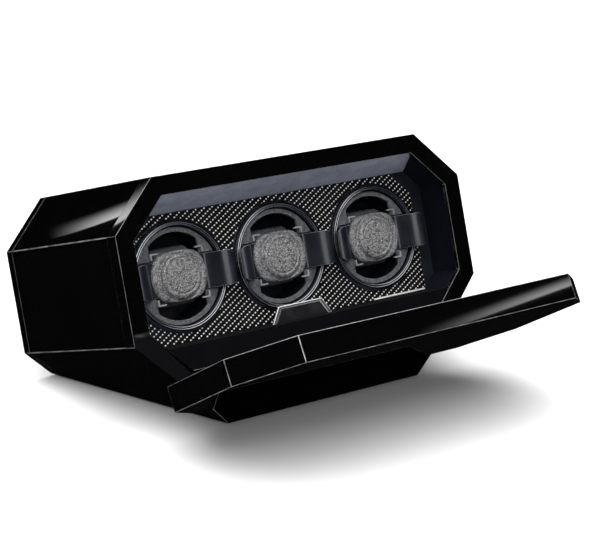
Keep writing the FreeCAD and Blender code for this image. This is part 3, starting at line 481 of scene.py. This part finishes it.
# %% Pieces with eased edges
EDGE_STEPS = 3


def dress(piece, material):
    """Gives every material slot of a piece one material, and makes a slot if it has none."""
    slots = piece.data.materials
    if len(slots) == 0:
        slots.append(material)
    for index in range(len(slots)):
        slots[index] = material


def merged_copy(node):
    """The node's mesh with its split corners joined and its flat faces made whole."""
    mesh = nodes[node].data.copy()
    shape = bmesh.new()
    shape.from_mesh(mesh)
    bmesh.ops.remove_doubles(shape, verts=shape.verts, dist=1e-6)
    bmesh.ops.dissolve_limit(shape, angle_limit=math.radians(0.5), verts=shape.verts,
                             edges=shape.edges, delimit={"NORMAL"})
    bmesh.ops.recalc_face_normals(shape, faces=shape.faces)
    shape.to_mesh(mesh)
    shape.free()
    return mesh


def finish_shading(mesh, angle=35):
    for face in mesh.polygons:
        face.use_smooth = True
    mesh.set_sharp_from_angle(angle=math.radians(angle))


def add_piece(name, mesh, body, material):
    piece = bpy.data.objects.new(name, mesh)
    bpy.context.collection.objects.link(piece)
    dress(piece, material)
    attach(piece, body)
    return piece


def eased(node, body, material, radius, wanted=None, angle=25, edge=None):
    """A copy of a node with its edges eased; wanted picks the edges by their two ends."""
    mesh = merged_copy(node)
    piece = add_piece(node + "_eased", mesh, body, material)
    if edge:
        mesh.materials.append(edge)
    bevel = piece.modifiers.new("eased edges", "BEVEL")
    bevel.width = radius
    bevel.segments = EDGE_STEPS
    bevel.miter_outer = "MITER_ARC"
    bevel.use_clamp_overlap = True
    bevel.material = 1 if edge else -1
    if wanted:
        bevel.limit_method = "WEIGHT"
        shape = bmesh.new()
        shape.from_mesh(mesh)
        weights = shape.edges.layers.float.new("bevel_weight_edge")
        for edge in shape.edges:
            ends = [place_in_case(vert.co) for vert in edge.verts]
            sharp = len(edge.link_faces) == 2 and edge.calc_face_angle(0.0) > math.radians(angle)
            edge[weights] = 1.0 if sharp and wanted(*ends) else 0.0
        shape.to_mesh(mesh)
        shape.free()
    else:
        bevel.limit_method = "ANGLE"
        bevel.angle_limit = math.radians(angle)
    finish_shading(mesh)
    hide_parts(node)
    return piece


def soften(piece, width, angle=30, edge=None):
    """Eases the edges of a piece made here; the eased faces may have their own material."""
    bevel = piece.modifiers.new("soft edges", "BEVEL")
    bevel.width = width
    bevel.segments = EDGE_STEPS
    bevel.angle_limit = math.radians(angle)
    if edge:
        piece.data.materials.append(edge)
        bevel.material = 1


def keep_node(node, material):
    dress(nodes[node], material)
    finish_shading(nodes[node].data, 30)


print("edge tools ready")

# %% [markdown]
# The case: the frame, the boards and the rear board meet in one skin of lacquer, so only the
# arrises of the octagon, the front edges and the window edge are eased. The long boards meet on
# mitres, and the eased arris belongs half to one board and half to the next. Each long board is
# therefore drawn again as a prism whose outer corners are half arcs.

# %% Measure the octagon from the CAD
def case_points(node):
    return [place_in_case(vert.co) for vert in nodes[node].data.vertices]


BOARD = 12 * MM
FRAME_DEPTH = 16 * MM
ARRIS = 1.6 * MM
top_points = case_points("top_board")
side_points = case_points("side_boards")
HALF_WIDTH = max(point.x for point in side_points)
TOP_LEVEL = max(point.z for point in top_points)
TOP_HALF = max(point.x for point in top_points if point.z > TOP_LEVEL - 1e-5)
SIDE_TOP = max(point.z for point in side_points if point.x > HALF_WIDTH - 1e-5)
SIDE_LOW = min(point.z for point in side_points if point.x > HALF_WIDTH - 1e-5)
REAR_DEPTH = max(point.y for point in case_points("rear_board"))
BOARD_END = REAR_DEPTH - BOARD
print("octagon (mm):", [round(value / MM, 2) for value in (HALF_WIDTH, TOP_LEVEL, TOP_HALF,
                                                          SIDE_TOP, SIDE_LOW, REAR_DEPTH)])


# %% Prisms between two mitres
def mitred_board(start, end, radius=ARRIS, steps=4):
    """The cross-section of a board whose outer face runs from start to end, seen from the front.

    Both ends are mitred at 22.5 degrees and carry half of the rounded arris."""
    start, end = Vector(start), Vector(end)
    along = (end - start).normalized()
    inward = Vector((-along.y, along.x))
    mitre = math.tan(math.pi / 8)
    pulled = radius * mitre
    outline = []
    for corner, way in ((start, 1), (end, -1)):
        centre = corner + along * way * pulled + inward * radius
        arc = []
        for step in range(steps + 1):
            angle = math.pi / 8 * (1 - step / steps)
            arc.append(centre - inward * radius * math.cos(angle)
                       - along * way * radius * math.sin(angle))
        outline += arc if way > 0 else arc[::-1]
    outline.append(end + inward * BOARD - along * BOARD * mitre)
    outline.append(start + inward * BOARD + along * BOARD * mitre)
    return outline


def prism(shape, outline, front, back, short=0.0):
    """Adds a closed prism of an outline (across, up) between two depths.

    Sides narrower than short belong to the rounded arrises and take the second material, the
    painted arris highlight."""
    rings = [[shape.verts.new(leaning(x, depth, y)) for x, y in outline]
             for depth in (front, back)]
    count = len(outline)
    for index in range(count):
        after = (index + 1) % count
        side = shape.faces.new((rings[0][index], rings[0][after],
                                rings[1][after], rings[1][index]))
        side.material_index = int((rings[0][index].co - rings[0][after].co).length < short)
    shape.faces.new(rings[0][::-1])
    shape.faces.new(rings[1])


def cut_below_bottom(shape):
    """Takes away what would stand below the case's level underside."""
    everything = list(shape.verts) + list(shape.edges) + list(shape.faces)
    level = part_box("bottom_board")[0][2]
    cut = bmesh.ops.bisect_plane(shape, geom=everything, plane_co=(0, 0, level),
                                 plane_no=(0, 0, -1), clear_outer=True)
    rim = [item for item in cut["geom_cut"] if isinstance(item, bmesh.types.BMEdge)]
    bmesh.ops.holes_fill(shape, edges=rim, sides=0)


def mirror_image(outline):
    return [(-x, y) for x, y in reversed([tuple(point) for point in outline])]


def lacquered_boards(node, outlines):
    shape = bmesh.new()
    for outline in outlines:
        prism(shape, outline, FRAME_DEPTH, BOARD_END, short=0.5 * ARRIS)
    if node == "lower_chamfer_boards":
        cut_below_bottom(shape)
    bmesh.ops.recalc_face_normals(shape, faces=shape.faces)
    mesh = bpy.data.meshes.new(node + "_lacquered")
    shape.to_mesh(mesh)
    shape.free()
    finish_shading(mesh, 20)
    piece = add_piece(node + "_lacquered", mesh, "case", lacquer)
    # The second slot is the painted arris highlight: a grey line on the rounded arrises.
    mesh.materials.append(arris)
    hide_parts(node)
    return piece


top_end, upper_end = (TOP_HALF, TOP_LEVEL), (HALF_WIDTH, SIDE_TOP)
lower_end = (HALF_WIDTH, SIDE_LOW)
drop = SIDE_LOW + BOARD
foot_end = (HALF_WIDTH - drop, SIDE_LOW - drop)
top_section = mitred_board(top_end, (-TOP_HALF, TOP_LEVEL))
upper_section = mitred_board(upper_end, top_end)
side_section = mitred_board(lower_end, upper_end)
lower_section = mitred_board(foot_end, lower_end)
lacquered_boards("top_board", [top_section])
lacquered_boards("upper_chamfer_boards", [upper_section, mirror_image(upper_section)])
lacquered_boards("side_boards", [side_section, mirror_image(side_section)])
lacquered_boards("lower_chamfer_boards", [lower_section, mirror_image(lower_section)])
print("boards laid, arris radius", ARRIS / MM, "mm")


# %% Frame, plinth, rear board and lid
SLACK = 0.4 * MM
PLINTH_TOP = 24 * MM
WINDOW_FOOT = 54 * MM
WINDOW_FRONT = 5.2 * MM
WINDOW_MARGIN = 15 * MM


def on_outline(point):
    """Whether a point of the leaning frame lies on the outside of the octagon."""
    x, y = abs(point.x), point.z
    return (x > HALF_WIDTH - SLACK or y > TOP_LEVEL - SLACK
            or x + y > HALF_WIDTH + SIDE_TOP - SLACK or x - y > HALF_WIDTH - SIDE_LOW - SLACK)


def frame_edges(start, end):
    depth, foot = max(start.y, end.y), min(start.z, end.z)
    outside = on_outline(start) and on_outline(end)
    front_edge = depth < SLACK / 2 and start.z > PLINTH_TOP
    window_edge = (not outside and depth < WINDOW_FRONT and foot > WINDOW_FOOT
                   and abs(start.x) < HALF_WIDTH - WINDOW_MARGIN)
    return (outside and foot > PLINTH_TOP) or front_edge or window_edge


def rear_edges(start, end):
    outside = on_outline(start) and on_outline(end)
    back = min(start.y, end.y) > REAR_DEPTH - SLACK / 2
    return outside or back


# The eased edges of the frame, rear board, plinth and lid take the painted arris highlight.
eased("front_frame", "case", lacquer, 0.8 * MM, frame_edges, edge=arris)
eased("rear_board", "case", lacquer, 0.8 * MM, rear_edges, edge=arris)
eased("plinth_board", "case", lacquer, 0.5 * MM,
      lambda start, end: on_outline(start) and on_outline(end), edge=arris)
eased("lid_panel", "lid", lacquer, 0.5 * MM, edge=arris)
keep_node("bottom_board", lacquer)
keep_node("base_felt", felt)
keep_node("lid_lining", lid_cloth)
print("frame, rear board, plinth and lid eased")

# %% Linings, panel and fascia
keep_node("ceiling_lining", ceiling_cloth)
keep_node("wall_linings", wall_cloth)
keep_node("ledge_lining", ledge_cloth)
keep_node("drum_panel", panel_plastic)
keep_node("carbon_fascia", fascia_twill)
eased("trim_bar", "case", satin_nickel, 0.3 * MM)
eased("badge_frame", "case", polished, 0.5 * MM, edge=satin_nickel)
eased("badge_blank", "case", badge_plastic, 0.25 * MM)
print("bay lined")

# %% [markdown]
# Turned parts: the bezel and the medallion are round, so each is an outline spun about the drum's
# axis. A helper rounds the corners of an outline with short arcs before it is spun, the way a
# cutting tool's nose radius would.

# %% Spin a rounded outline
def rounded(outline, radius, steps=4):
    """An outline (pairs) with each corner replaced by an arc that touches both sides."""
    points = [Vector(point) for point in outline]
    made = []
    count = len(points)
    for index, corner in enumerate(points):
        before = points[index - 1] - corner
        after = points[(index + 1) % count] - corner
        half = before.angle(after) / 2
        if half > math.radians(88):
            made.append(corner)
            continue
        pull = min(radius / math.tan(half), before.length * 0.45, after.length * 0.45)
        first = corner + before.normalized() * pull
        last = corner + after.normalized() * pull
        for step in range(steps + 1):
            part = step / steps
            made.append(first.lerp(corner, part).lerp(corner.lerp(last, part), part))
    return made


def spin(shape, outline, centre, turns=96):
    """Adds a body of revolution: outline pairs are radius and depth, in metres."""
    rings = []
    for turn in range(turns):
        angle = 2 * math.pi * turn / turns
        rings.append([shape.verts.new(leaning(centre.x + radius * math.cos(angle), depth,
                                              centre.z + radius * math.sin(angle)))
                      for radius, depth in outline])
    for turn in range(turns):
        ring, following = rings[turn], rings[(turn + 1) % turns]
        for index in range(len(outline)):
            after = (index + 1) % len(outline)
            shape.faces.new((ring[index], ring[after], following[after], following[index]))


def to_piece(shape, name, body, material, angle=35):
    bmesh.ops.remove_doubles(shape, verts=shape.verts, dist=1e-7)
    bmesh.ops.recalc_face_normals(shape, faces=shape.faces)
    mesh = bpy.data.meshes.new(name)
    shape.to_mesh(mesh)
    shape.free()
    finish_shading(mesh, angle)
    return add_piece(name, mesh, body, material)


# %% Bezels
FASCIA_FRONT = 43.7 * MM
PANEL_BACK = 49 * MM
BEZEL_BORE = 47 * MM
bezel_outline = [
    (BEZEL_BORE, PANEL_BACK), (BEZEL_BORE, FASCIA_FRONT - 3.2 * MM),
    (BEZEL_BORE + 1.5 * MM, FASCIA_FRONT - 3.6 * MM),
    (BEZEL_BORE + 3.1 * MM, FASCIA_FRONT - 3.1 * MM),
    (BEZEL_BORE + 3.3 * MM, FASCIA_FRONT - 0.8 * MM),
    (BEZEL_BORE + 7 * MM, FASCIA_FRONT - 0.8 * MM), (BEZEL_BORE + 7 * MM, FASCIA_FRONT),
    (BEZEL_BORE + 1 * MM, FASCIA_FRONT), (BEZEL_BORE + 1 * MM, PANEL_BACK)]
BEADS = ((BEZEL_BORE + 1.0 * MM, 3.35 * MM, 0.42 * MM),
         (BEZEL_BORE + 2.9 * MM, 3.2 * MM, 0.5 * MM))
shape = bmesh.new()
for name in DRUMS:
    spin(shape, rounded(bezel_outline, 0.35 * MM), drum_axis[name])
plain_faces = len(shape.faces)
for name in DRUMS:
    for radius, proud, thick in BEADS:
        wire = [(radius + thick * math.cos(math.pi * step / 4),
                 FASCIA_FRONT - proud + thick * math.sin(math.pi * step / 4))
                for step in range(8)]
        spin(shape, wire, drum_axis[name])
for face in list(shape.faces)[plain_faces:]:
    face.material_index = 1
bezel_rings = to_piece(shape, "bezel_rings", "case", bezel_plastic)
bezel_rings.data.materials.append(dark_chrome)
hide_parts("bezels")
print("bezels: outer radius", (BEZEL_BORE + 7 * MM) / MM, "mm")

# %% [markdown]
# The drums: the cup stays as the CAD has it, in dark satin plastic. The face ring is a grained
# grey moulding with a fine eased edge.

# %% Drums
for name in DRUMS:
    keep_node("drum_shell_" + name, drum_plastic)
    keep_node("drive_gear_" + name, acetal)
    keep_node("pinion_" + name, brass)
    eased("drum_face_" + name, "drum " + name, ring_plastic, 0.45 * MM, angle=30)
print("drum rings eased")

# %% [markdown]
# The holder is one moulding: a flat bar behind the pad and, at each end, a wing that sweeps
# forward so that fingers can pull it. A row of stations from the middle to the tip gives the
# front and back of the wing, a smooth curve fills in between them, and the tip's two corners are
# rounded by lowering the height there.

# %% Wings
WING_HALF_HEIGHT = 16.5
WING_STATIONS = [
    ((0.0, 43.5), (0.0, 47.7)), ((26.0, 43.5), (26.0, 47.7)), ((30.6, 43.4), (36.0, 47.7)),
    ((33.0, 40.8), (42.6, 47.7)), ((36.8, 35.2), (43.0, 42.0)), ((41.0, 29.6), (43.8, 34.6)),
    ((45.2, 26.9), (46.6, 30.1)), ((49.2, 26.0), (49.4, 28.9)), ((52.2, 26.9), (51.4, 29.7)),
    ((54.0, 28.6), (52.9, 31.0))]


def smooth_through(points, per_span):
    """Points on a smooth curve through the given ones."""
    padded = [points[0]] + list(points) + [points[-1]]
    made = []
    for first, second, third, fourth in zip(padded, padded[1:], padded[2:], padded[3:]):
        for step in range(per_span):
            part = step / per_span
            made.append(tuple(
                0.5 * (2 * b + (c - a) * part + (2 * a - 5 * b + 4 * c - d) * part ** 2
                       + (3 * b - a - 3 * c + d) * part ** 3)
                for a, b, c, d in zip(first, second, third, fourth)))
    made.append(tuple(points[-1]))
    return made


def wing_half_height(from_tip, corner=9.0):
    """Half the wing's height, drawn in along a quarter circle near the tip."""
    into_corner = max(corner - from_tip, 0.0)
    return WING_HALF_HEIGHT - corner + math.sqrt(max(corner ** 2 - into_corner ** 2, 0.0))


def wing_moulding(name):
    centre = drum_axis[name]
    stations = smooth_through([front + back for front, back in WING_STATIONS], 7)
    steps = [math.dist(near[:2], far[:2]) for near, far in zip(stations, stations[1:])]
    highs = [wing_half_height(sum(steps[index:]) + 0.4) for index in range(len(stations))]
    both = [tuple(-value if index % 2 == 0 else value for index, value in enumerate(station))
            for station in stations[:0:-1]] + stations
    shape = bmesh.new()
    loops = []
    for (front_x, front_y, back_x, back_y), high in zip(both, highs[:0:-1] + highs):
        corners = [(front_x, front_y, -high), (front_x, front_y, high),
                   (back_x, back_y, high), (back_x, back_y, -high)]
        loops.append([shape.verts.new(leaning(centre.x + x * MM, y * MM, centre.z + z * MM))
                      for x, y, z in corners])
    for loop, following in zip(loops, loops[1:]):
        for index in range(4):
            after = (index + 1) % 4
            shape.faces.new((loop[index], loop[after], following[after], following[index]))
    shape.faces.new(loops[0][::-1])
    shape.faces.new(loops[-1])
    piece = to_piece(shape, "wings_" + name, "holder " + name, wing_plastic,
                     50)
    # The eased edges take the wings' painted highlight colour.
    soften(piece, 0.8 * MM, 40, wing_edge_highlight)
    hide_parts("holder_frame_" + name)
    return piece


for name in DRUMS:
    wing_moulding(name)
print("wings reach", WING_STATIONS[-1][0][0], "mm from each drum's axis")

# %% [markdown]
# The pad is leather over thin foam: a disc with flat top and bottom, crowned in the middle, with
# its edge turned under. It is drawn as rings that run out from the middle to the outline, and the
# height over the outline is a formula. The pebbles of the leather are large enough to see, so
# they are real: cell noise lifts each pebble and sinks the crease between it and the next.
# Vector noise starts from the clock unless it has a seed, so it gets one: the same each time.

# %% Leather relief
PAD_BACK = 43.4 * MM
PAD_RADIUS = 30.5 * MM
PAD_HALF_HEIGHT = 24.4 * MM
DISC_RADIUS = 21.6 * MM
noise.seed_set(1)


def leather_relief(across, up, seed, pebble=3.0):
    """Height in millimetres of pebbled leather at a place given in millimetres."""
    spot = Vector((across, up, seed))
    drift = noise.noise_vector(spot / 4.0) * 0.9
    distances = noise.voronoi((spot + drift) / pebble)[0]
    crease = min(max((distances[1] - distances[0]) / 0.45, 0.0), 1.0)
    fold = noise.noise(spot / 2.6) * 0.3 + noise.noise(spot / 7.0) * 0.4
    return 0.55 * crease * (2 - crease) + 0.4 * fold


def close_disc(shape, grid, middle, back):
    """Joins rings of points into a disc: a point in the middle of its front and of its back."""
    turns = len(grid[0])
    for turn in range(turns):
        after = (turn + 1) % turns
        shape.faces.new((middle, grid[0][turn], grid[0][after]))
        for inner, outer in zip(grid, grid[1:]):
            shape.faces.new((inner[turn], outer[turn], outer[after], inner[after]))
        shape.faces.new((back, grid[-1][after], grid[-1][turn]))


# %% Pads
PAD_SWELL, PAD_CROWN, PAD_ROLL = 3.0, 0.5, 0.16
PAD_MIDDLE = 3.6
SEAT_RADIUS, SEAT_DEPTH = 22.9, 1.2
SEED_STEP = 11.3


def pad_reach(angle):
    """Distance from the pad's middle to its outline: a circle with softened flats."""
    flat = PAD_HALF_HEIGHT / max(abs(math.sin(angle)), 1e-6)
    return (PAD_RADIUS ** -9 + flat ** -9) ** (-1 / 9)


def leather_pad(name, seed):
    centre = drum_axis[name]
    turns, rings = 260, 84
    shape = bmesh.new()
    grid = []
    for ring in range(1, rings + 1):
        share = (ring / rings) ** 0.7
        row = []
        for turn in range(turns):
            angle = 2 * math.pi * turn / turns
            reach = pad_reach(angle) * share
            across, up = reach * math.cos(angle), reach * math.sin(angle)
            edge = max(0.0, 1 - (1 - share) / PAD_ROLL)
            height = (PAD_SWELL * math.sqrt(max(1 - edge ** 2.4, 0.0))
                      + PAD_CROWN * (1 - share ** 2))
            seat = SEAT_DEPTH * math.exp(-(reach / MM - SEAT_RADIUS) ** 2)
            relief = leather_relief(across / MM, up / MM, seed) * (1 - edge ** 2)
            depth = PAD_BACK - (height - seat + relief) * MM
            row.append(shape.verts.new(leaning(centre.x + across, depth, centre.z + up)))
        grid.append(row)
    middle = shape.verts.new(leaning(centre.x, PAD_BACK - PAD_MIDDLE * MM, centre.z))
    back = shape.verts.new(leaning(centre.x, PAD_BACK, centre.z))
    close_disc(shape, grid, middle, back)
    piece = to_piece(shape, "leather_pad_" + name, "holder " + name, pad_leather,
                     60)
    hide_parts("pad_" + name)
    return piece


for seed, name in enumerate(DRUMS):
    leather_pad(name, SEED_STEP * seed)
print("pads: radius", PAD_RADIUS / MM, "mm, flats at", PAD_HALF_HEIGHT / MM, "mm")

# %% [markdown]
# At each corner of the pad a small satin hook reaches round its edge and holds the leather to
# the cushion behind. Each is an L-shaped moulding with soft edges.

# %% Corner hooks
HOOK_FRONT, HOOK_BACK = 40.0 * MM, 43.3 * MM
HOOK_OUTLINE = [(20.5, 23.2), (27.4, 23.2), (27.4, 18.6), (28.9, 18.6), (28.9, 24.7), (20.5, 24.7)]


def corner_hooks(name):
    centre = drum_axis[name]
    shape = bmesh.new()
    for side in (1, -1):
        for end in (1, -1):
            placed = [(centre.x + end * x * MM, centre.z + side * y * MM) for x, y in HOOK_OUTLINE]
            prism(shape, placed, HOOK_FRONT, HOOK_BACK)
    piece = to_piece(shape, "corner_hooks_" + name, "holder " + name, clip_plastic)
    soften(piece, 0.35 * MM)
    return piece


for name in DRUMS:
    corner_hooks(name)
print("corner hooks fitted")

# %% [markdown]
# The medallion is a raised disc under the same leather: a rolled rim, a ring pressed in near the
# edge, and a low dome. It is left blank.

# %% Medallions
DISC_BACK, DISC_EDGE, DISC_MIDDLE = 2.9, 3.3, 7.0
DISC_SWELL, DISC_CROWN, DISC_ROLL = 2.9, 0.8, 0.18
GROOVE_AT, GROOVE_WIDTH = 0.77, 0.035


def medallion(name, seed):
    centre = drum_axis[name]
    turns, rings = 200, 64
    profile = []
    for ring in range(rings + 1):
        share = ring / rings
        roll = max(0.0, 1 - (1 - share) / DISC_ROLL)
        dome = (DISC_SWELL * math.sqrt(max(1 - roll ** 2.2, 0.0))
                + DISC_CROWN * (1 - share ** 2))
        pressed = math.exp(-((share - GROOVE_AT) / GROOVE_WIDTH) ** 2)
        profile.append((DISC_RADIUS * share, DISC_EDGE + dome - pressed, 1 - roll ** 2))
    shape = bmesh.new()
    grid = []
    for radius, height, grain in profile[1:]:
        row = []
        for turn in range(turns):
            angle = 2 * math.pi * turn / turns
            across, up = radius * math.cos(angle), radius * math.sin(angle)
            relief = leather_relief(across / MM, up / MM, seed + 5, 3.1) * grain
            depth = PAD_BACK - (height + relief) * MM
            row.append(shape.verts.new(leaning(centre.x + across, depth, centre.z + up)))
        grid.append(row)
    middle = shape.verts.new(leaning(centre.x, PAD_BACK - DISC_MIDDLE * MM, centre.z))
    back = shape.verts.new(leaning(centre.x, PAD_BACK - DISC_BACK * MM, centre.z))
    close_disc(shape, grid, middle, back)
    piece = to_piece(shape, "medallion_disc_" + name, "holder " + name, disc_leather,
                     60)
    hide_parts("medallion_" + name)
    return piece


for seed, name in enumerate(DRUMS):
    medallion(name, SEED_STEP * seed)
print("medallions: radius", DISC_RADIUS / MM, "mm")

# %% [markdown]
# The cushion that carries the watch is a small bolster: crowned on its faces, round at its
# corners and pulled in along the seam that runs round its middle. It starts as a cube with a fine
# grid on it. A formula draws each point in to a rounded block, and noise adds soft folds.

# %% Cushions
CUSHION_HALF = Vector((23.0, 17.0, 28.0))


def cushion(name):
    centre = drum_axis[name]
    middle = Vector((0.0, 47.7 + CUSHION_HALF.y, 0.0))
    shape = bmesh.new()
    bmesh.ops.create_cube(shape, size=2.0)
    bmesh.ops.subdivide_edges(shape, edges=shape.edges, cuts=29, use_grid_fill=True)
    for vert in shape.verts:
        unit = vert.co.copy()
        long = (abs(unit.x) ** 7 + abs(unit.y) ** 5 + abs(unit.z) ** 5) ** (1 / 5)
        round_unit = unit / max(long, 1.0)
        seam = 1 - 0.05 * math.exp(-((round_unit.y / 0.05) ** 2))
        fold = 1 - 0.012 * noise.noise(Vector(unit) * 3.0)
        spot = Vector([part * half * fold for part, half in zip(round_unit, CUSHION_HALF)])
        spot.x *= seam
        spot.z *= seam
        spot += middle
        vert.co = leaning(centre.x + spot.x * MM, spot.y * MM, centre.z + spot.z * MM)
    piece = to_piece(shape, "cushion_cover_" + name, "holder " + name, cushion_leather,
                     80)
    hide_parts("cushion_" + name)
    return piece


for name in DRUMS:
    cushion(name)
print("cushions:", tuple(2 * value for value in CUSHION_HALF), "mm")

# %% [markdown]
# Hardware and the rear of the case keep their CAD shapes. Only the knob and the rocker, which a
# hand touches, have eased edges. Pieces with holes and slots are best left as they are, because
# joining flat faces that have holes in them can close the holes.

# %% Hardware, drive and rear panel
eased("mode_knob", "knob", knob_metal, 0.5 * MM)
eased("power_rocker", "rocker", inlet_plastic, 0.4 * MM)
for node, material in {
        "rear_cover": rear_plastic, "power_inlet": inlet_plastic,
        "mode_switch": inlet_plastic, "screws": steel,
        "motor_plate": steel, "shaft_bearings": bronze, "gearmotors": motor_can,
        "control_board": circuit_board, "board_spacers": brass, "case_magnets": polished,
        "lid_magnets": polished, "case_hinge_leaves": polished, "lid_hinge_leaves": polished,
        "hinge_pins": polished}.items():
    keep_node(node, material)
print("hardware dressed")

# %% [markdown]
# The studio: a pale floor, a bright soft sky overhead that fades to dark lower down, and a large
# soft light in front. Polished black shows only what it mirrors, so the dark horizon
# keeps the big panels deep black, and two cards with graded light give the panels their streaks.
# The floor is left out of mirror images for the same reason.

# %% Floor and sky
def floor_finish():
    made = Finish("pale_floor")
    speck = made.noise(0.25, 3.0)
    tone = speck.fade(0.3, 0.7).between((0.88, 0.88, 0.88), (0.91, 0.91, 0.91))
    return made.set(Base_Color=tone, Roughness=0.9, Specular_IOR_Level=0.1)


def flat_sheet(name, corners, material):
    mesh = bpy.data.meshes.new(name)
    mesh.from_pydata([tuple(corner) for corner in corners], [], [(0, 1, 2, 3)])
    sheet = bpy.data.objects.new(name, mesh)
    bpy.context.collection.objects.link(sheet)
    dress(sheet, material)
    return sheet


FLOOR_HALF = 30.0
floor = flat_sheet("floor", [(-FLOOR_HALF, -FLOOR_HALF, 0), (FLOOR_HALF, -FLOOR_HALF, 0),
                             (FLOOR_HALF, FLOOR_HALF, 0), (-FLOOR_HALF, FLOOR_HALF, 0)],
                   floor_finish())
floor.visible_glossy = False

SKY_DARK_BELOW, SKY_FULL_ABOVE = 0.50, 0.82
SKY_GLIMMER, SKY_POWER = 0.004, 3.4
sky = bpy.data.worlds.new("soft_sky")
sky.use_nodes = True
background = sky.node_tree.nodes["Background"]
height = add_node(sky.node_tree, "ShaderNodeTexCoord", output=0).parts()[2]
fill_socket(sky.node_tree, background.inputs["Strength"],
            height.fade(SKY_DARK_BELOW, SKY_FULL_ABOVE, SKY_GLIMMER, SKY_POWER))
background.inputs["Color"].default_value = (1.0, 1.0, 1.0, 1.0)
bpy.context.scene.world = sky


# %% Lights and graded cards
def soft_light(name, spot, aim, size, power):
    light = bpy.data.lights.new(name, "AREA")
    light.shape = "RECTANGLE"
    light.size, light.size_y = size
    light.energy = power
    lamp = bpy.data.objects.new(name, light)
    lamp.location = spot
    lamp.rotation_euler = (Vector(aim) - Vector(spot)).to_track_quat("-Z", "Y").to_euler()
    bpy.context.collection.objects.link(lamp)
    return lamp


def graded_card(name, corners, edge, slope, bend, depth, reach, power, rising=0, falling=2):
    """A glowing card seen only in mirror images: bright at one sharp edge, fading behind it.

    edge is a point of the sharp edge and slope how it climbs; bend curves it. The glow fades
    over depth metres behind the edge and builds up over reach metres along it."""
    made = Finish(name)
    axes = made.place().parts()
    along = axes[rising] - edge[0]
    behind = axes[falling] - edge[1] - along * slope - along * along * bend
    sharp = behind > 0.0
    glow = sharp * behind.fade(0.0, depth, 1.0, 0.0) * along.fade(0.0, reach)
    made.set(Base_Color=(0, 0, 0), Roughness=1.0, Specular_IOR_Level=0.0,
             Emission_Color=glow.between((0, 0, 0), (1, 1, 1)), Emission_Strength=power)
    card = flat_sheet(name, corners, made.material)
    card.visible_camera = card.visible_diffuse = card.visible_shadow = False
    return card


soft_light("front_fill", (-1.5, -2.6, 1.6), (0, 0, 0.14), (2.6, 2.0), 58)
graded_card("rear_card", [(-0.30, 1.2, 0.30), (-0.08, 1.2, 0.30),
                          (-0.08, 1.2, 0.62), (-0.30, 1.2, 0.62)],
            edge=(0.37, -0.227), slope=0.12, bend=1.0, depth=0.036, reach=0.12, power=3.0,
            rising=2, falling=0)
graded_card("front_card", [(1.05, -1.6, 1.02), (1.80, -1.6, 1.02),
                           (1.80, -1.6, 1.18), (1.05, -1.6, 1.18)],
            edge=(1.17, 1.044), slope=0.100, bend=0.0, depth=0.026, reach=0.45, power=6.0)
print("lights:", len(bpy.data.lights))

# %% Camera
CAMERA_SPOT = Vector((-1.057, -1.501, 0.6405))
CAMERA_AIM = Vector((0.0442, 0.0008, 0.0908))
camera_data = bpy.data.cameras.new("camera")
camera_data.lens = 118.87
camera_data.sensor_width = 36.0
camera = bpy.data.objects.new("camera", camera_data)
camera.location = CAMERA_SPOT
camera.rotation_euler = (CAMERA_AIM - CAMERA_SPOT).to_track_quat("-Z", "Y").to_euler()
bpy.context.collection.objects.link(camera)
bpy.context.scene.camera = camera
bpy.context.scene.view_settings.view_transform = "Standard"
print("camera looks from", tuple(round(value, 3) for value in CAMERA_SPOT))
